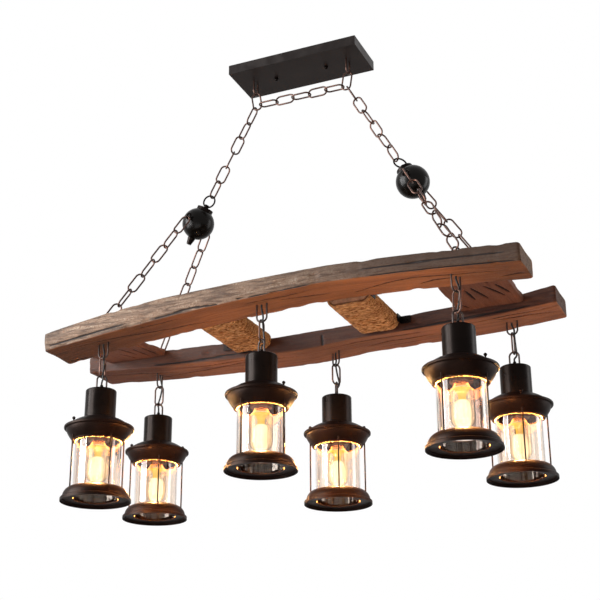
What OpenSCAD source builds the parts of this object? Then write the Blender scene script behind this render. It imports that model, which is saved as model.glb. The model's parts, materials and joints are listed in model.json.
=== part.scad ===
// Driftwood lantern ceiling light: two wooden beams on chains, six glass lanterns under them.
// Origin: centre of the canopy's top face, on the ceiling. +X along the beams, +Z up.

/* [Canopy] */
// Length of the canopy
canopy_len = 300; // [260:1:360]
// Depth of the canopy
canopy_depth = 115; // [90:1:140]
// Height of the canopy
canopy_h = 22; // [18:1:40]
// Sheet thickness of the canopy
canopy_wall = 1.5; // [1:0.1:2]
// Distance between the two canopy screws
screw_spacing = 120; // [100:1:150]
// Diameter of the threaded studs
stud_d = 5; // [4:0.5:6]
// Width of a cap nut
cap_nut_d = 9; // [8:0.5:12]
// Height of a cap nut
cap_nut_h = 8; // [6:0.5:10]
// Length of the bar that is screwed to the ceiling
bar_len = 150; // [135:1:180]
// Width of the ceiling bar
bar_w = 26; // [20:1:32]
// Thickness of the ceiling bar
bar_t = 3; // [2:0.5:4]
// Distance between the two ceiling bolt holes
bolt_spacing = 70; // [50:1:85]
// Diameter of the ceiling bolt holes
bolt_hole_d = 5.5; // [4:0.5:7]

/* [Chains] */
// Wire diameter of the chain links
wire_d = 3.6; // [3:0.1:4]
// Outer width of a link
link_w = 23.6; // [22:0.2:28]
// Length of chain that one link makes, which each chain rounds to whole links
link_pitch = 39.3; // [36:0.1:44]
// Gap between two links where they bear on each other
link_gap = 0.3; // [0.2:0.05:0.5]
// Distance from the canopy's centre to a hook
hook_x = 111; // [100:1:125]
// Drop of the hooks, from the canopy to the link that hangs in them
hook_drop = 30; // [24:1:36]
// Distance from the centre to the foot of a hanger link, where three links meet
junction_x = 105; // [95:1:108]
// Depth of that foot below the ceiling
junction_z = 90; // [86:1:100]

/* [Balls] */
// Diameter of the two balls
ball_d = 70; // [60:1:80]
// Distance from the centre to a ball
ball_x = 248; // [235:1:260]
// Depth of the balls below the ceiling
ball_z = 344; // [335:1:355]
// Tilt of the balls' axes
ball_tilt = 27; // [20:1:34]
// Diameter of the collar on a ball
collar_d = 36; // [30:1:44]
// Height of the collar above the ball's own top
collar_h = 2; // [1:0.5:4]
// Diameter of the lug that holds the ring
lug_d = 10; // [9:0.5:13]
// Height of the lug
lug_h = 9; // [8:0.5:12]
// Outer width of the ring on the lug
ring_w = 31; // [28:0.5:33]
// Centre line radius of the screw eyes on a ball
eye_r = 6.4; // [6:0.2:8]
// Length of a screw eye's shank outside the ball
eye_shank = 3; // [2:0.5:6]
// Length of the tapered gland under a ball
ball_gland_h = 15; // [12:1:20]
// Wide end of that gland
ball_gland_d1 = 17; // [14:1:20]
// Narrow end of that gland
ball_gland_d2 = 10; // [8:1:12]

/* [Beams] */
// Length of the front beam
front_len = 1000; // [960:5:1060]
// Length of the back beam
back_len = 1070; // [1040:5:1120]
// Offset of the back beam's middle to the left
back_shift = 33; // [20:1:45]
// Depth of both beams, front to back
beam_w = 100; // [90:1:110]
// Clear distance between the two beams
beam_gap = 174; // [160:1:190]
// Depth below the ceiling of the top of the front beam, at its crown
front_top_z = 579; // [560:1:600]
// Depth below the ceiling of the top of the back beam, at its lowest
back_top_z = 600; // [585:1:615]
// Thickness of the front beam
front_t = 35; // [33:1:40]
// Thickness of the back beam
back_t = 39; // [36:1:44]
// Rise of the front beam's crown over its left end
front_bow = 43; // [36:1:50]
// Rise of the back beam's right end over its lowest place
back_bow = 21; // [16:1:26]

/* [Cross pieces] */
// Thickness of the two end boards
board_t = 17; // [14:1:20]
// Width of the left end board
left_board_w = 141; // [120:1:150]
// Width of the right end board
right_board_w = 136; // [120:1:150]
// Distance from the front beam's left end to the middle of the left end board
left_board_inset = 62.5; // [55:0.5:70]
// Distance from the front beam's right end to the middle of the right end board
right_board_inset = 127; // [115:1:135]
// Distance from the centre to the middle of the left wound bar
left_bar_x = 155; // [140:1:170]
// Distance from the centre to the middle of the right wound bar
right_bar_x = 134; // [120:1:150]
// Depth of the wound bars' centre lines below the ceiling
bar_z = 607; // [602:1:612]
// Width of a wound bar, over the twine
wound_w = 94; // [84:1:104]
// Height of a wound bar, over the twine
wound_h = 40; // [34:1:46]
// Turns of twine on a bar
twine_turns = 24; // [12:1:24]
// Diameter of the twine
twine_d = 6.4; // [5:0.1:6.5]
// Length of an angle bracket's legs
bracket_leg = 22; // [16:1:28]
// Height of an angle bracket
bracket_h = 16; // [12:1:20]
// Thickness of an angle bracket
bracket_t = 2; // [1.5:0.5:3]
// Diameter of a bracket's screw head
screw_head_d = 6; // [5:0.5:8]

/* [Lanterns] */
// Distance from the middle to the two rows of lanterns
row_y = 140; // [132:1:144]
// Width of the staples under the beams
staple_w = 25; // [23:0.5:28]
// Drop of an ordinary staple, from the beam to the link that hangs in it
staple_drop_h = 29.5; // [26:0.5:32]
// Height of an ordinary eye on a beam, up to the link that pulls on it
beam_eye_h = 20; // [17:1:24]
// Width of the loop on a cup
loop_w = 23; // [21:0.5:26]
// Height of the loop, up to the link that it hangs on
loop_h = 30.7; // [28:0.1:34]
// Pitch of the link between a staple and a loop
hanger_pitch = 40.4; // [38:0.1:44]
// Diameter of the lead to a lantern
lead_d = 3.8; // [3:0.1:4]
// Diameter of a cup
cup_d = 62; // [58:1:66]
// Height of a cup
cup_h = 59.5; // [55:0.5:65]
// Radius of the cup's rounded top edge
cup_edge = 3; // [2:0.5:5]
// Sheet thickness of the cup, pan and base ring
sheet = 1.5; // [1:0.1:2]
// Height of the lead's gland on a cup
gland_h = 12; // [10:0.5:13]
// Diameter of that gland
gland_d = 11; // [9:0.5:11]
// Diameter of the pan and of the base ring
rim_d = 139; // [134:1:144]
// Rise of the pan's top from its rim to the cup
pan_rise = 20; // [16:1:24]
// Height of the pan's rounded edge
pan_edge_h = 6; // [5:0.5:8]
// Height of the bowl under the pan's rim
pan_bowl_h = 26; // [23:1:30]
// Diameter of the bowl's mouth, round the glass
pan_mouth_d = 104; // [100:1:108]
// Radius of the beads on the pan and the base ring
bead_r = 2; // [1.5:0.5:2.5]
// Outer diameter of the glass
glass_d = 92; // [88:1:93]
// Thickness of the glass
glass_t = 3; // [2:0.5:4]
// Total height of a lantern's lower part, from the pan's rim to its foot
lantern_h = 147.8; // [140:0.1:160]
// Height of the base ring
base_h = 28; // [25:1:32]
// Height of the base ring's upright lip
lip_h = 7; // [5:1:9]
// Diameter of the rods
rod_d = 3; // [2.5:0.5:4]
// Diameter of the circle that the rods stand on
rod_circle_d = 112; // [110:1:115]
// Diameter of the ball nuts on the rods
nut_d = 6.5; // [5:0.5:8]
// Height of the ball nuts' feet over the pan
nut_stand = 2; // [1:0.5:4]

/* [Lamps] */
// Outer diameter of a lampholder
holder_d = 42; // [38:1:46]
// Depth of the lampholder's lower edge below the pan's rim
holder_drop = 26; // [22:1:28]
// Diameter of the thread on a bulb
thread_d = 26.4; // [24:0.1:27]
// Height of the threaded cap
thread_h = 24; // [20:1:28]
// Diameter of the tubular bulb
bulb_d = 45; // [35:1:50]
// Length of the bulb's glass
bulb_len = 84; // [75:1:86]

/* [Hidden] */
$fn = 48;

// Clearances and small fits
seat = 0.3; // gap between a piece and what it stands on, where they are not face to face
over = 1; // how far a cutting shape stands out of what it cuts
hole_play = 0.2; // radial play of a wire or stud in its hole
thread_play = 0.5; // radial play of the bulb's thread in the lampholder
wire_r = wire_d / 2;
link_r = (link_w - wire_d) / 2; // centre line radius of a link's ends
leg_in_wood = 14; // length of a staple's or eye's legs inside the beam
nut_t = 3; // thickness of the hook nuts in the canopy
nut_dome = 0.86; // width of a cap nut's dome, as a share of the nut's
thread_play_end = 0.5; // gap between a stud's end and the ceiling

// Shape of the beams. Each point is a share of the length from the middle, with its height as a share
// of the bow for a top, and the timber's extra thickness there as a share of its own for an underside.
front_top_shape = [[-0.5, -1], [-0.354, -0.49], [-0.221, -0.19], [-0.052, -0.05], [0.08, 0],
    [0.133, 0], [0.23, -0.09], [0.342, -0.23], [0.5, -0.44]];
front_extra = [[-0.5, 0.14], [-0.375, 0.26], [-0.25, 0.29], [-0.128, 0.17], [0, 0.09], [0.12, 0],
    [0.28, 0], [0.371, 0.03], [0.5, 0.09]];
back_top_shape = [[-0.5, 0.95], [-0.4, 0.71], [-0.3, 0.43], [-0.2, 0.29], [-0.065, 0], [0.06, 0.1],
    [0.16, 0.14], [0.24, 0.29], [0.35, 0.43], [0.44, 0.57], [0.5, 1]];
back_extra = [[-0.5, -0.03], [-0.33, 0.03], [-0.14, 0.05], [-0.01, 0.05], [0.1, -0.1], [0.19, -0.08],
    [0.28, -0.05], [0.38, -0.03], [0.5, 0]];

front_y = -(beam_gap + beam_w) / 2; // middle of the front beam
back_y = (beam_gap + beam_w) / 2;

// Height of a beam's top or underside over a place along it
function front_top(x) = -front_top_z + front_bow * lookup(x / front_len, front_top_shape);
function front_bottom(x) = front_top(x) - front_t * (1 + lookup(x / front_len, front_extra));
function back_top(x) = -back_top_z + back_bow * lookup((x + back_shift) / back_len, back_top_shape);
function back_bottom(x) = back_top(x) - back_t * (1 + lookup((x + back_shift) / back_len, back_extra));
function beam_top(x, y) = y < 0 ? front_top(x) : back_top(x);
function beam_bottom(x, y) = y < 0 ? front_bottom(x) : back_bottom(x);

// Lanterns: [x as a share of the front beam, side of the row, turn of the staple, its drop as a share
// of an ordinary one's, turn of the rods with ball nuts, turn of the loop from the staple]
LANTERNS = [
    [-0.384, -1, 0, 1, 58, 30],
    [-0.412, 1, 90, 1, 35, -30],
    [-0.026, -1, 0, 1.17, 164, -30],
    [0.016, 1, -30, 0.96, 24, -28],
    [0.3675, -1, 60, 1, 159, -21],
    [0.399, 1, 0, 0.83, 112, 0]
];
function lantern_x(i) = LANTERNS[i - 1][0] * front_len;
function lantern_y(i) = LANTERNS[i - 1][1] * row_y;
function staple_turn(i) = LANTERNS[i - 1][2];
function staple_drop(i) = LANTERNS[i - 1][3] * staple_drop_h;
function rod_turn(i) = LANTERNS[i - 1][4] - staple_turn(i);
function loop_turn(i) = LANTERNS[i - 1][5];
function hook_point(i) = [lantern_x(i), lantern_y(i), beam_bottom(lantern_x(i), lantern_y(i))];
function loop_top(i) = -staple_drop(i) - hanger_pitch; // the loop bears on its link here
function rim_level(i) = loop_top(i) - loop_h - cup_h - pan_rise;

// Lower chains: [x of the eye on the beam as a share of the front beam, side of the row, its distance
// from the middle as a share of the row's, its height as a share of an ordinary one's, 1 where the
// ball's eye lies flat]
EYES = [[-0.397, -1, 0.79, 1.05, 0], [-0.402, 1, 0.93, 0.65, 0], [0.369, -1, 0.93, 1.2, 1],
    [0.405, 1, 0.89, 0.7, 0]];
function eye_h(k) = EYES[k][3] * beam_eye_h;
function eye_foot(k) = let (x = EYES[k][0] * front_len, y = EYES[k][1] * EYES[k][2] * row_y)
    [x, y, beam_top(x, y)];
function eye_point(k) = eye_foot(k) + [0, 0, eye_h(k)];

function unit(v) = v / norm(v);
function ball_point(side) = [side * ball_x, 0, -ball_z];
function ball_axis(side) = [-side * sin(ball_tilt), 0, cos(ball_tilt)];

// The ring on a ball's lug hangs in the last link of the upper chain
lug_base = ball_d / 2 + collar_h;
lug_hole = lug_base + lug_h / 2; // distance of the lug's hole from the ball's centre
ring_r = (ring_w - wire_d) / 2;
lug_hole_r = wire_r + lug_d * lug_d / 8 / ring_r + link_gap;
function ring_turn(side) = side < 0 ? 90 : 45; // turn of the ring and lug about the ball's axis
function lug_point(side) = ball_point(side) + lug_hole * ball_axis(side);
function leg_dir(side) = unit(lug_point(side) - hanger_foot(side) + [0, 0, link_r]);
function ring_centre(side) = lug_point(side) - ring_r * leg_dir(side);
function ring_contact(side) = ring_centre(side) - (ring_r - wire_r) * leg_dir(side);

// The hanger link holds the upper chain and the spreader chain in its lower bend
hook_z = -canopy_h - hook_drop;
function hook_contact(side) = [side * hook_x, 0, hook_z];
function hanger_foot(side) = [side * junction_x, 0, -junction_z];
function hanger_dir(side) = unit(hanger_foot(side) - hook_contact(side));
function hanger_bend(side) = hanger_foot(side) - (link_r - wire_r) * hanger_dir(side);
function upper_start(side) = hanger_bend(side) + (link_r - wire_r) * leg_dir(side);
function spreader_end(side) = hanger_bend(side) - (link_r - wire_r) * [side, 0, 0];

// Screw eyes on the balls: k counts the four lower chains as EYES does
function eye_side(k) = k < 2 ? -1 : 1;
function eye_front(k) = EYES[k][1];
function eye_centre(k) = ball_point(eye_side(k)) + [0, eye_front(k) * (ball_d / 2 + eye_shank + eye_r), 0];
function eye_flat(k) = EYES[k][4] == 1;
function chain_dir(k) = unit(eye_point(k) - eye_centre(k));
function chain_side(k) = unit(cross([0, 1, 0], chain_dir(k)));
function eye_normal(k) = eye_flat(k) ? cross([0, 1, 0], chain_side(k)) : chain_side(k);
function lower_start(k) = eye_flat(k) ? eye_centre(k) + [0, eye_front(k) * eye_r, 0] - wire_r * chain_dir(k)
    : eye_centre(k) + (eye_r - wire_r) * chain_dir(k);

// The last link bears on the eye's wire from the side that its chain comes from
function lower_end(k) = eye_point(k) + [0, 0, wire_r] + wire_r * chain_dir(k);

// Turns [z axis] of something onto a direction
function tilt_of(d) = acos(d[2] / norm(d));
function turn_of(d) = atan2(d[1], d[0]);
// Roll that brings the X axis of something aimed along d onto the direction w
function roll_onto(d, w) = let (t = tilt_of(d), f = turn_of(d))
    atan2(w * [-sin(f), cos(f), 0], w * [cos(t) * cos(f), cos(t) * sin(f), -sin(t)]);
module aim(at, d, roll = 0) {
    translate(at) rotate([0, tilt_of(d), turn_of(d)]) rotate([0, 0, roll]) children();
}

// Half a ring of wire, open downwards, in the XZ plane
module wire_bend(r, wire = wire_d) {
    rotate([90, 0, 0]) rotate_extrude(angle = 180) translate([r, 0]) circle(d = wire);
}

// Long link between two bearing points, in the plane of its own X and Z axes
module link_between(a, b, roll = 0) {
    inner = norm(b - a) + link_gap;
    straight = max(inner + wire_d - 2 * link_r, 1);
    aim((a + b) / 2, b - a, roll) {
        for (end = [0, 1]) mirror([0, 0, end]) translate([0, 0, straight / 2]) wire_bend(link_r);
        for (s = [-1, 1]) translate([s * link_r, 0, -straight / 2]) cylinder(d = wire_d, h = straight);
    }
}

// Chain of whole links between two bearing points. Each link is turned a quarter from the last, and
// what is left between the first and last roll is shared out as twist.
module chain_between(a, b, first, last) {
    count = max(2, round(norm(b - a) / link_pitch));
    step = (b - a) / count;
    rest = last - first - 90 * (count - 1);
    twist = (rest - 180 * round(rest / 180)) / (count - 1);
    for (k = [0:count - 1]) link_between(a + k * step, a + (k + 1) * step, first + k * (90 + twist));
}

// U of wire: legs up to z = 0 and beyond by leg_up, bearing surface of the bend at z = -drop
module wire_u(w, drop, leg_up) {
    r = (w - wire_d) / 2;
    legs = drop + wire_r - r;
    translate([0, 0, -legs]) mirror([0, 0, 1]) wire_bend(r);
    for (s = [-1, 1]) translate([s * r, 0, -legs]) cylinder(d = wire_d, h = legs + leg_up);
}

// Smooth points through a short list of points, for the leads
function spline_point(p, t) =
    let (n = len(p) - 1, k = min(floor(t), n - 1), f = t - k,
        p0 = p[max(k - 1, 0)], p1 = p[k], p2 = p[k + 1], p3 = p[min(k + 2, n)])
    0.5 * (2 * p1 + (p2 - p0) * f + (2 * p0 - 5 * p1 + 4 * p2 - p3) * f * f
        + (3 * p1 - p0 - 3 * p2 + p3) * f * f * f);

// Tube of constant diameter round a list of points; side_of gives a direction across each point
module tube(points, d, sides, across) {
    n = len(points);
    dirs = [for (k = [0:n - 1]) unit(points[min(k + 1, n - 1)] - points[max(k - 1, 0)])];
    rings = [for (k = [0:n - 1])
        let (u = unit(cross(dirs[k], across)), v = cross(dirs[k], u))
        for (s = [0:sides - 1]) points[k] + d / 2 * (cos(360 * s / sides) * u + sin(360 * s / sides) * v)];
    walls = [for (k = [0:n - 2]) for (s = [0:sides - 1])
        let (a = k * sides + s, b = k * sides + (s + 1) % sides)
        for (f = [[a, b + sides, b], [a, a + sides, b + sides]]) f];
    start = [for (s = [1:sides - 2]) [0, s, s + 1]];
    last = (n - 1) * sides;
    end = [for (s = [1:sides - 2]) [last, last + s + 1, last + s]];
    polyhedron(rings, concat(walls, start, end), convexity = 8);
}

// Bar that is screwed to the ceiling
module ceiling_bar() {
    color("silver") difference() {
        translate([-bar_len / 2, -bar_w / 2, -bar_t]) cube([bar_len, bar_w, bar_t]);
        for (s = [-1, 1]) {
            translate([s * bolt_spacing / 2, 0, -bar_t - over])
                cylinder(d = bolt_hole_d, h = bar_t + 2 * over);
            translate([s * screw_spacing / 2, 0, -bar_t - over])
                cylinder(d = stud_d + 2 * hole_play, h = bar_t + 2 * over);
        }
    }
}

// Steel box over the ceiling bar, with holes for its screws and hooks
module canopy() {
    color([0.12, 0.09, 0.08]) difference() {
        translate([-canopy_len / 2, -canopy_depth / 2, -canopy_h])
            cube([canopy_len, canopy_depth, canopy_h]);
        translate([-canopy_len / 2 + canopy_wall, -canopy_depth / 2 + canopy_wall, -canopy_h + canopy_wall])
            cube([canopy_len - 2 * canopy_wall, canopy_depth - 2 * canopy_wall, canopy_h]);
        for (s = [-1, 1]) {
            translate([s * screw_spacing / 2, 0, -canopy_h - over])
                cylinder(d = stud_d + 2 * hole_play, h = canopy_wall + 2 * over);
            for (leg = [-1, 1]) translate([s * hook_x, leg * link_r, -canopy_h - over])
                cylinder(d = wire_d + 2 * hole_play, h = canopy_wall + 2 * over);
        }
    }
}

// Studs and cap nuts that hold the canopy against the ceiling
module canopy_screws() {
    color([0.1, 0.08, 0.07]) for (s = [-1, 1]) translate([s * screw_spacing / 2, 0, 0]) {
        translate([0, 0, -canopy_h - cap_nut_h / 2])
            cylinder(d = stud_d, h = canopy_h + cap_nut_h / 2 - thread_play_end);
        translate([0, 0, -canopy_h - cap_nut_h / 2]) difference() {
            union() {
                cylinder(d = cap_nut_d, h = cap_nut_h / 2, $fn = 6);
                sphere(d = cap_nut_d * nut_dome);
            }
            cylinder(d = stud_d, h = cap_nut_h);
            translate([-cap_nut_d, -cap_nut_d, cap_nut_h / 2]) cube(2 * cap_nut_d);
        }
    }
}

// Two wire hooks through the canopy's floor, with their nuts inside
module canopy_hooks() {
    color([0.2, 0.14, 0.11]) for (s = [-1, 1]) translate([s * hook_x, 0, -canopy_h]) {
        rotate([0, 0, 90]) wire_u(link_w, hook_drop, canopy_wall + nut_t + over);
        for (leg = [-1, 1]) translate([0, leg * link_r, canopy_wall]) difference() {
            cylinder(d = 2 * wire_d, h = nut_t);
            translate([0, 0, -over]) cylinder(d = wire_d, h = nut_t + 2 * over);
        }
    }
}

// Hanger links on the hooks, and the chain between them
module spreader_chain() {
    color([0.2, 0.14, 0.11]) {
        for (s = [-1, 1]) link_between(hook_contact(s), hanger_foot(s));
        chain_between(spreader_end(-1), spreader_end(1), 90, 90);
    }
}

// Chain from a hanger link out and down to the ring on a ball
module upper_chain(side) {
    color([0.2, 0.14, 0.11]) chain_between(upper_start(side), ring_contact(side), 90, ring_turn(side));
}

// Hollow ball, cut flat under its collar
module ball(side) {
    color([0.05, 0.05, 0.05]) aim(ball_point(side), ball_axis(side)) difference() {
        sphere(d = ball_d, $fn = 96);
        sphere(d = ball_d - 2 * sheet, $fn = 96);
        translate([0, 0, ball_d / 2 - collar_sink]) cylinder(d = ball_d, h = ball_d);
    }
}
// Depth of the flat that the collar stands on, below the ball's own top
collar_sink = ball_d / 2 - sqrt(ball_d * ball_d - collar_d * collar_d) / 2;

// Collars, lugs, rings, screw eyes and glands of the two balls
module ball_fittings() {
    color([0.08, 0.07, 0.06]) for (side = [-1, 1]) {
        aim(ball_point(side), ball_axis(side)) {
            translate([0, 0, ball_d / 2 - collar_sink]) cylinder(d = collar_d, h = collar_sink + collar_h);
            translate([0, 0, lug_base]) rotate([0, 0, ring_turn(side)]) difference() {
                cylinder(d = lug_d, h = lug_h);
                translate([0, lug_d, lug_h / 2]) rotate([90, 0, 0]) cylinder(r = lug_hole_r, h = 2 * lug_d);
            }
            translate([0, 0, -gland_seat]) mirror([0, 0, 1])
                cylinder(d1 = ball_gland_d1, d2 = ball_gland_d2, h = ball_gland_h);
        }
        aim(ring_centre(side), leg_dir(side), ring_turn(side)) rotate([0, 90, 0]) ring(ring_r);
    }
    color([0.08, 0.07, 0.06]) for (k = [0:3]) screw_eye(k);
}
gland_seat = ball_d / 2 + seat; // the gland starts here under the ball's centre

// Closed ring of wire in the XY plane
module ring(r) {
    rotate_extrude() translate([r, 0]) circle(d = wire_d);
}

// Screw eye on a ball, standing in the plane of its chain
module screw_eye(k) {
    f = eye_front(k);
    aim(eye_centre(k), eye_normal(k)) ring(eye_r);
    translate(ball_point(eye_side(k)) + [0, f * (ball_d / 2 + seat), 0])
        rotate([-90 * f, 0, 0]) cylinder(d = wire_d - 2 * hole_play, h = eye_shank - seat);
}

// Two chains from a ball to the front and back beams
module lower_chains(side) {
    color([0.2, 0.14, 0.11]) for (k = side < 0 ? [0, 1] : [2, 3])
        chain_between(lower_start(k), lower_end(k), roll_onto(chain_dir(k),
            eye_flat(k) ? cross(chain_dir(k), chain_side(k)) : chain_side(k)), 0);
}

// Beam outline along X, as a solid of the beam's depth
module beam_body(shape_top, shape_extra, bow, len_x, shift, top_z, t, y) {
    top = [for (p = shape_top) [p[0] * len_x - shift, bow * p[1] - top_z]];
    low = [for (k = [len(shape_extra) - 1:-1:0]) let (q = shape_extra[k])
        [q[0] * len_x - shift, bow * lookup(q[0], shape_top) - top_z - t * (1 + q[1])]];
    translate([0, y + beam_w / 2, 0]) rotate([90, 0, 0]) linear_extrude(beam_w) polygon(concat(top, low));
}

// Holes for the legs of the eyes and staples in the beams
module wire_holes(front) {
    for (k = [0:3]) if (eye_front(k) == front) translate(eye_foot(k))
        for (s = [-1, 1]) rotate([0, 0, eye_turn(k)]) translate([s * link_r, 0, -leg_in_wood - over])
            cylinder(d = wire_d + 2 * hole_play, h = 2 * leg_in_wood);
    for (i = [1:6]) if (LANTERNS[i - 1][1] == front) translate(hook_point(i)) rotate([0, 0, staple_turn(i)])
        for (s = [-1, 1]) translate([s * (staple_w - wire_d) / 2, 0, -leg_in_wood])
            cylinder(d = wire_d + 2 * hole_play, h = 2 * leg_in_wood + over);
}
function eye_turn(k) = turn_of(chain_dir(k)) + 90;

module front_beam() {
    color([0.5, 0.42, 0.34]) difference() {
        beam_body(front_top_shape, front_extra, front_bow, front_len, 0, front_top_z, front_t, front_y);
        wire_holes(-1);
    }
}

module back_beam() {
    color([0.42, 0.26, 0.18]) difference() {
        beam_body(back_top_shape, back_extra, back_bow, back_len, back_shift, back_top_z, back_t, back_y);
        wire_holes(1);
    }
}

// Board between the beams, flush with the upper parts of their inner faces
module end_board(x, w, front_drop, back_drop) {
    front_z = front_top(x) - front_drop;
    back_z = back_top(x) - back_drop;
    color([0.4, 0.28, 0.2]) translate([x - w / 2, 0, 0]) rotate([90, 0, 90]) linear_extrude(w)
        polygon([[-beam_gap / 2, front_z], [beam_gap / 2, back_z], [beam_gap / 2, back_z - board_t],
            [-beam_gap / 2, front_z - board_t]]);
}
module end_board_left() {
    end_board(left_board_inset - front_len / 2, left_board_w, 0, board_sink);
}
module end_board_right() {
    end_board(front_len / 2 - right_board_inset, right_board_w, 1.5 * board_sink, board_sink);
}
board_sink = 2; // drop of the boards below the beams' tops

// Rounded flat section in the XZ plane, of overall width w and height h
module flat_section(w, h) {
    hull_w = w - h;
    square([hull_w, h], center = true);
    for (s = [-1, 1]) translate([s * hull_w / 2, 0]) circle(d = h);
}

// Wooden core of a wound bar, between the beams
module cross_bar(x) {
    color([0.35, 0.25, 0.18]) translate([x, beam_gap / 2, -bar_z]) rotate([90, 0, 0])
        linear_extrude(beam_gap) flat_section(core_w, core_h);
}

// Twine round a bar: the path goes round the flat section while it moves along Y
twine_end_w = wound_h - twine_d; // height of the twine's centre line
twine_flat = wound_w - wound_h; // length of its flat runs
twine_arc = 7; // rings on each rounded edge
// The twine cuts the corners between its rings, so the core stays clear of its chords
core_gap = seat + twine_end_w / 2 * (1 - cos(90 / (twine_arc - 1)));
core_w = wound_w - 2 * twine_d - 2 * core_gap;
core_h = wound_h - 2 * twine_d - 2 * core_gap;
twine_loop = 2 * twine_arc; // rings in one turn
twine_margin = 2; // bare core at each beam
twine_pitch = (beam_gap - 2 * twine_margin - twine_d) / twine_turns;
function twine_angle(k) = -90 + 180 * (k % twine_arc) / (twine_arc - 1);
function twine_point(k) =
    let (side = floor(k / twine_arc) % 2 == 0 ? 1 : -1, a = twine_angle(k))
    [side * (twine_flat / 2 + twine_end_w / 2 * cos(a)), -beam_gap / 2 + twine_margin + twine_d / 2
        + twine_pitch * k / twine_loop, side * twine_end_w / 2 * sin(a)];
twine_route = [for (k = [0:twine_turns * twine_loop - 1]) twine_point(k)];
// Straight tails, one diameter long, along the flats
twine_path = concat([twine_route[0] - [twine_d, 0, 0]], twine_route,
    [twine_route[len(twine_route) - 1] + [twine_d, 0, 0]]);
twine_spacing = min([for (k = [0:twine_loop - 1])
    norm(cross(twine_route[k + twine_loop] - twine_route[k], unit(twine_route[k + 1] - twine_route[k])))]);
echo(str("least gap between turns of twine: ", twine_spacing - twine_d, " mm"));

module twine(x) {
    color([0.75, 0.5, 0.3]) translate([x, 0, -bar_z]) tube(twine_path, twine_d, 6, [0, 1, 0]);
}

// Eyes on top of the beams
module beam_eyes() {
    color([0.15, 0.12, 0.1]) for (k = [0:3])
        translate(eye_foot(k)) rotate([0, 0, eye_turn(k)])
            mirror([0, 0, 1]) wire_u(link_w, eye_h(k), leg_in_wood);
}

// Staples under the beams
module lamp_staples() {
    color([0.15, 0.12, 0.1]) for (i = [1:6])
        translate(hook_point(i)) rotate([0, 0, staple_turn(i)])
            wire_u(staple_w, staple_drop(i), leg_in_wood);
}

// Angle brackets that hold the wound bars to the beams, on the bars' outer sides
module bar_brackets() {
    color([0.1, 0.08, 0.07]) for (end = [-1, 1]) {
        bracket(-left_bar_x - wound_w / 2 - seat, -1, end);
        bracket(right_bar_x + wound_w / 2 + seat, 1, end);
    }
}
screw_at = bracket_leg * 0.6; // distance of a bracket's screw from its corner
module bracket(x, side, end) {
    z = -bar_z - bracket_h / 2;
    y = end * beam_gap / 2;
    translate([x, y, z]) mirror([side < 0 ? 1 : 0, 0, 0]) mirror([0, end > 0 ? 1 : 0, 0]) {
        difference() {
            union() {
                cube([bracket_t, bracket_leg, bracket_h]);
                cube([bracket_leg, bracket_t, bracket_h]);
            }
            translate([screw_at, -over, bracket_h / 2]) rotate([-90, 0, 0])
                cylinder(d = screw_head_d / 2, h = bracket_t + 2 * over);
        }
        translate([screw_at, bracket_t, bracket_h / 2]) rotate([-90, 0, 0])
            cylinder(d = screw_head_d, h = screw_head_d / 4);
    }
}

// Link and lead between a staple and a lantern's loop
module hanger(i) {
    translate(hook_point(i)) rotate([0, 0, staple_turn(i)]) {
        color([0.2, 0.14, 0.11])
            link_between([0, 0, -staple_drop(i)], [0, 0, loop_top(i)], 90);
        color([0.06, 0.05, 0.05]) tube(lead_route(i), lead_d, 8, [1, 0, 0]);
    }
}
// The lead passes the staple's bend on one side of it, runs down beside the link, passes the loop's
// top on the side that is further from it and ends over the gland
lead_gap = 2 * seat; // between the lead and the wires that it passes
lead_end = 4 * seat; // from the lead's ends to the wood and the gland
lead_off = wire_r + lead_d / 2 + lead_gap; // distance between the lead's and a wire's centre lines
function lead_route(i) =
    let (bend = -staple_drop(i) - wire_r, low = loop_top(i) + wire_r, x = lead_off, y = 0.7 * lead_off,
        end = loop_top(i) - loop_h + gland_h + lead_end, s = loop_turn(i) > 0 ? -1 : 1,
        p = [[0, -1, -lead_end], [0, -1, -2 * lead_d], [x, -y, bend + 2.5 * lead_d], [x, -x, bend],
            [x, -1, (bend + low) / 2], [x, s * x, low], [x, s * y, low - 2 * lead_d],
            [0, 0, (low - 2 * lead_d + end) / 2 - 1], [0, 0, end]])
    [for (t = [0:0.5:len(p) - 1]) spline_point(p, t)];

module at_lantern(i) {
    translate(hook_point(i)) rotate([0, 0, staple_turn(i)]) translate([0, 0, rim_level(i)]) children();
}

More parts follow.
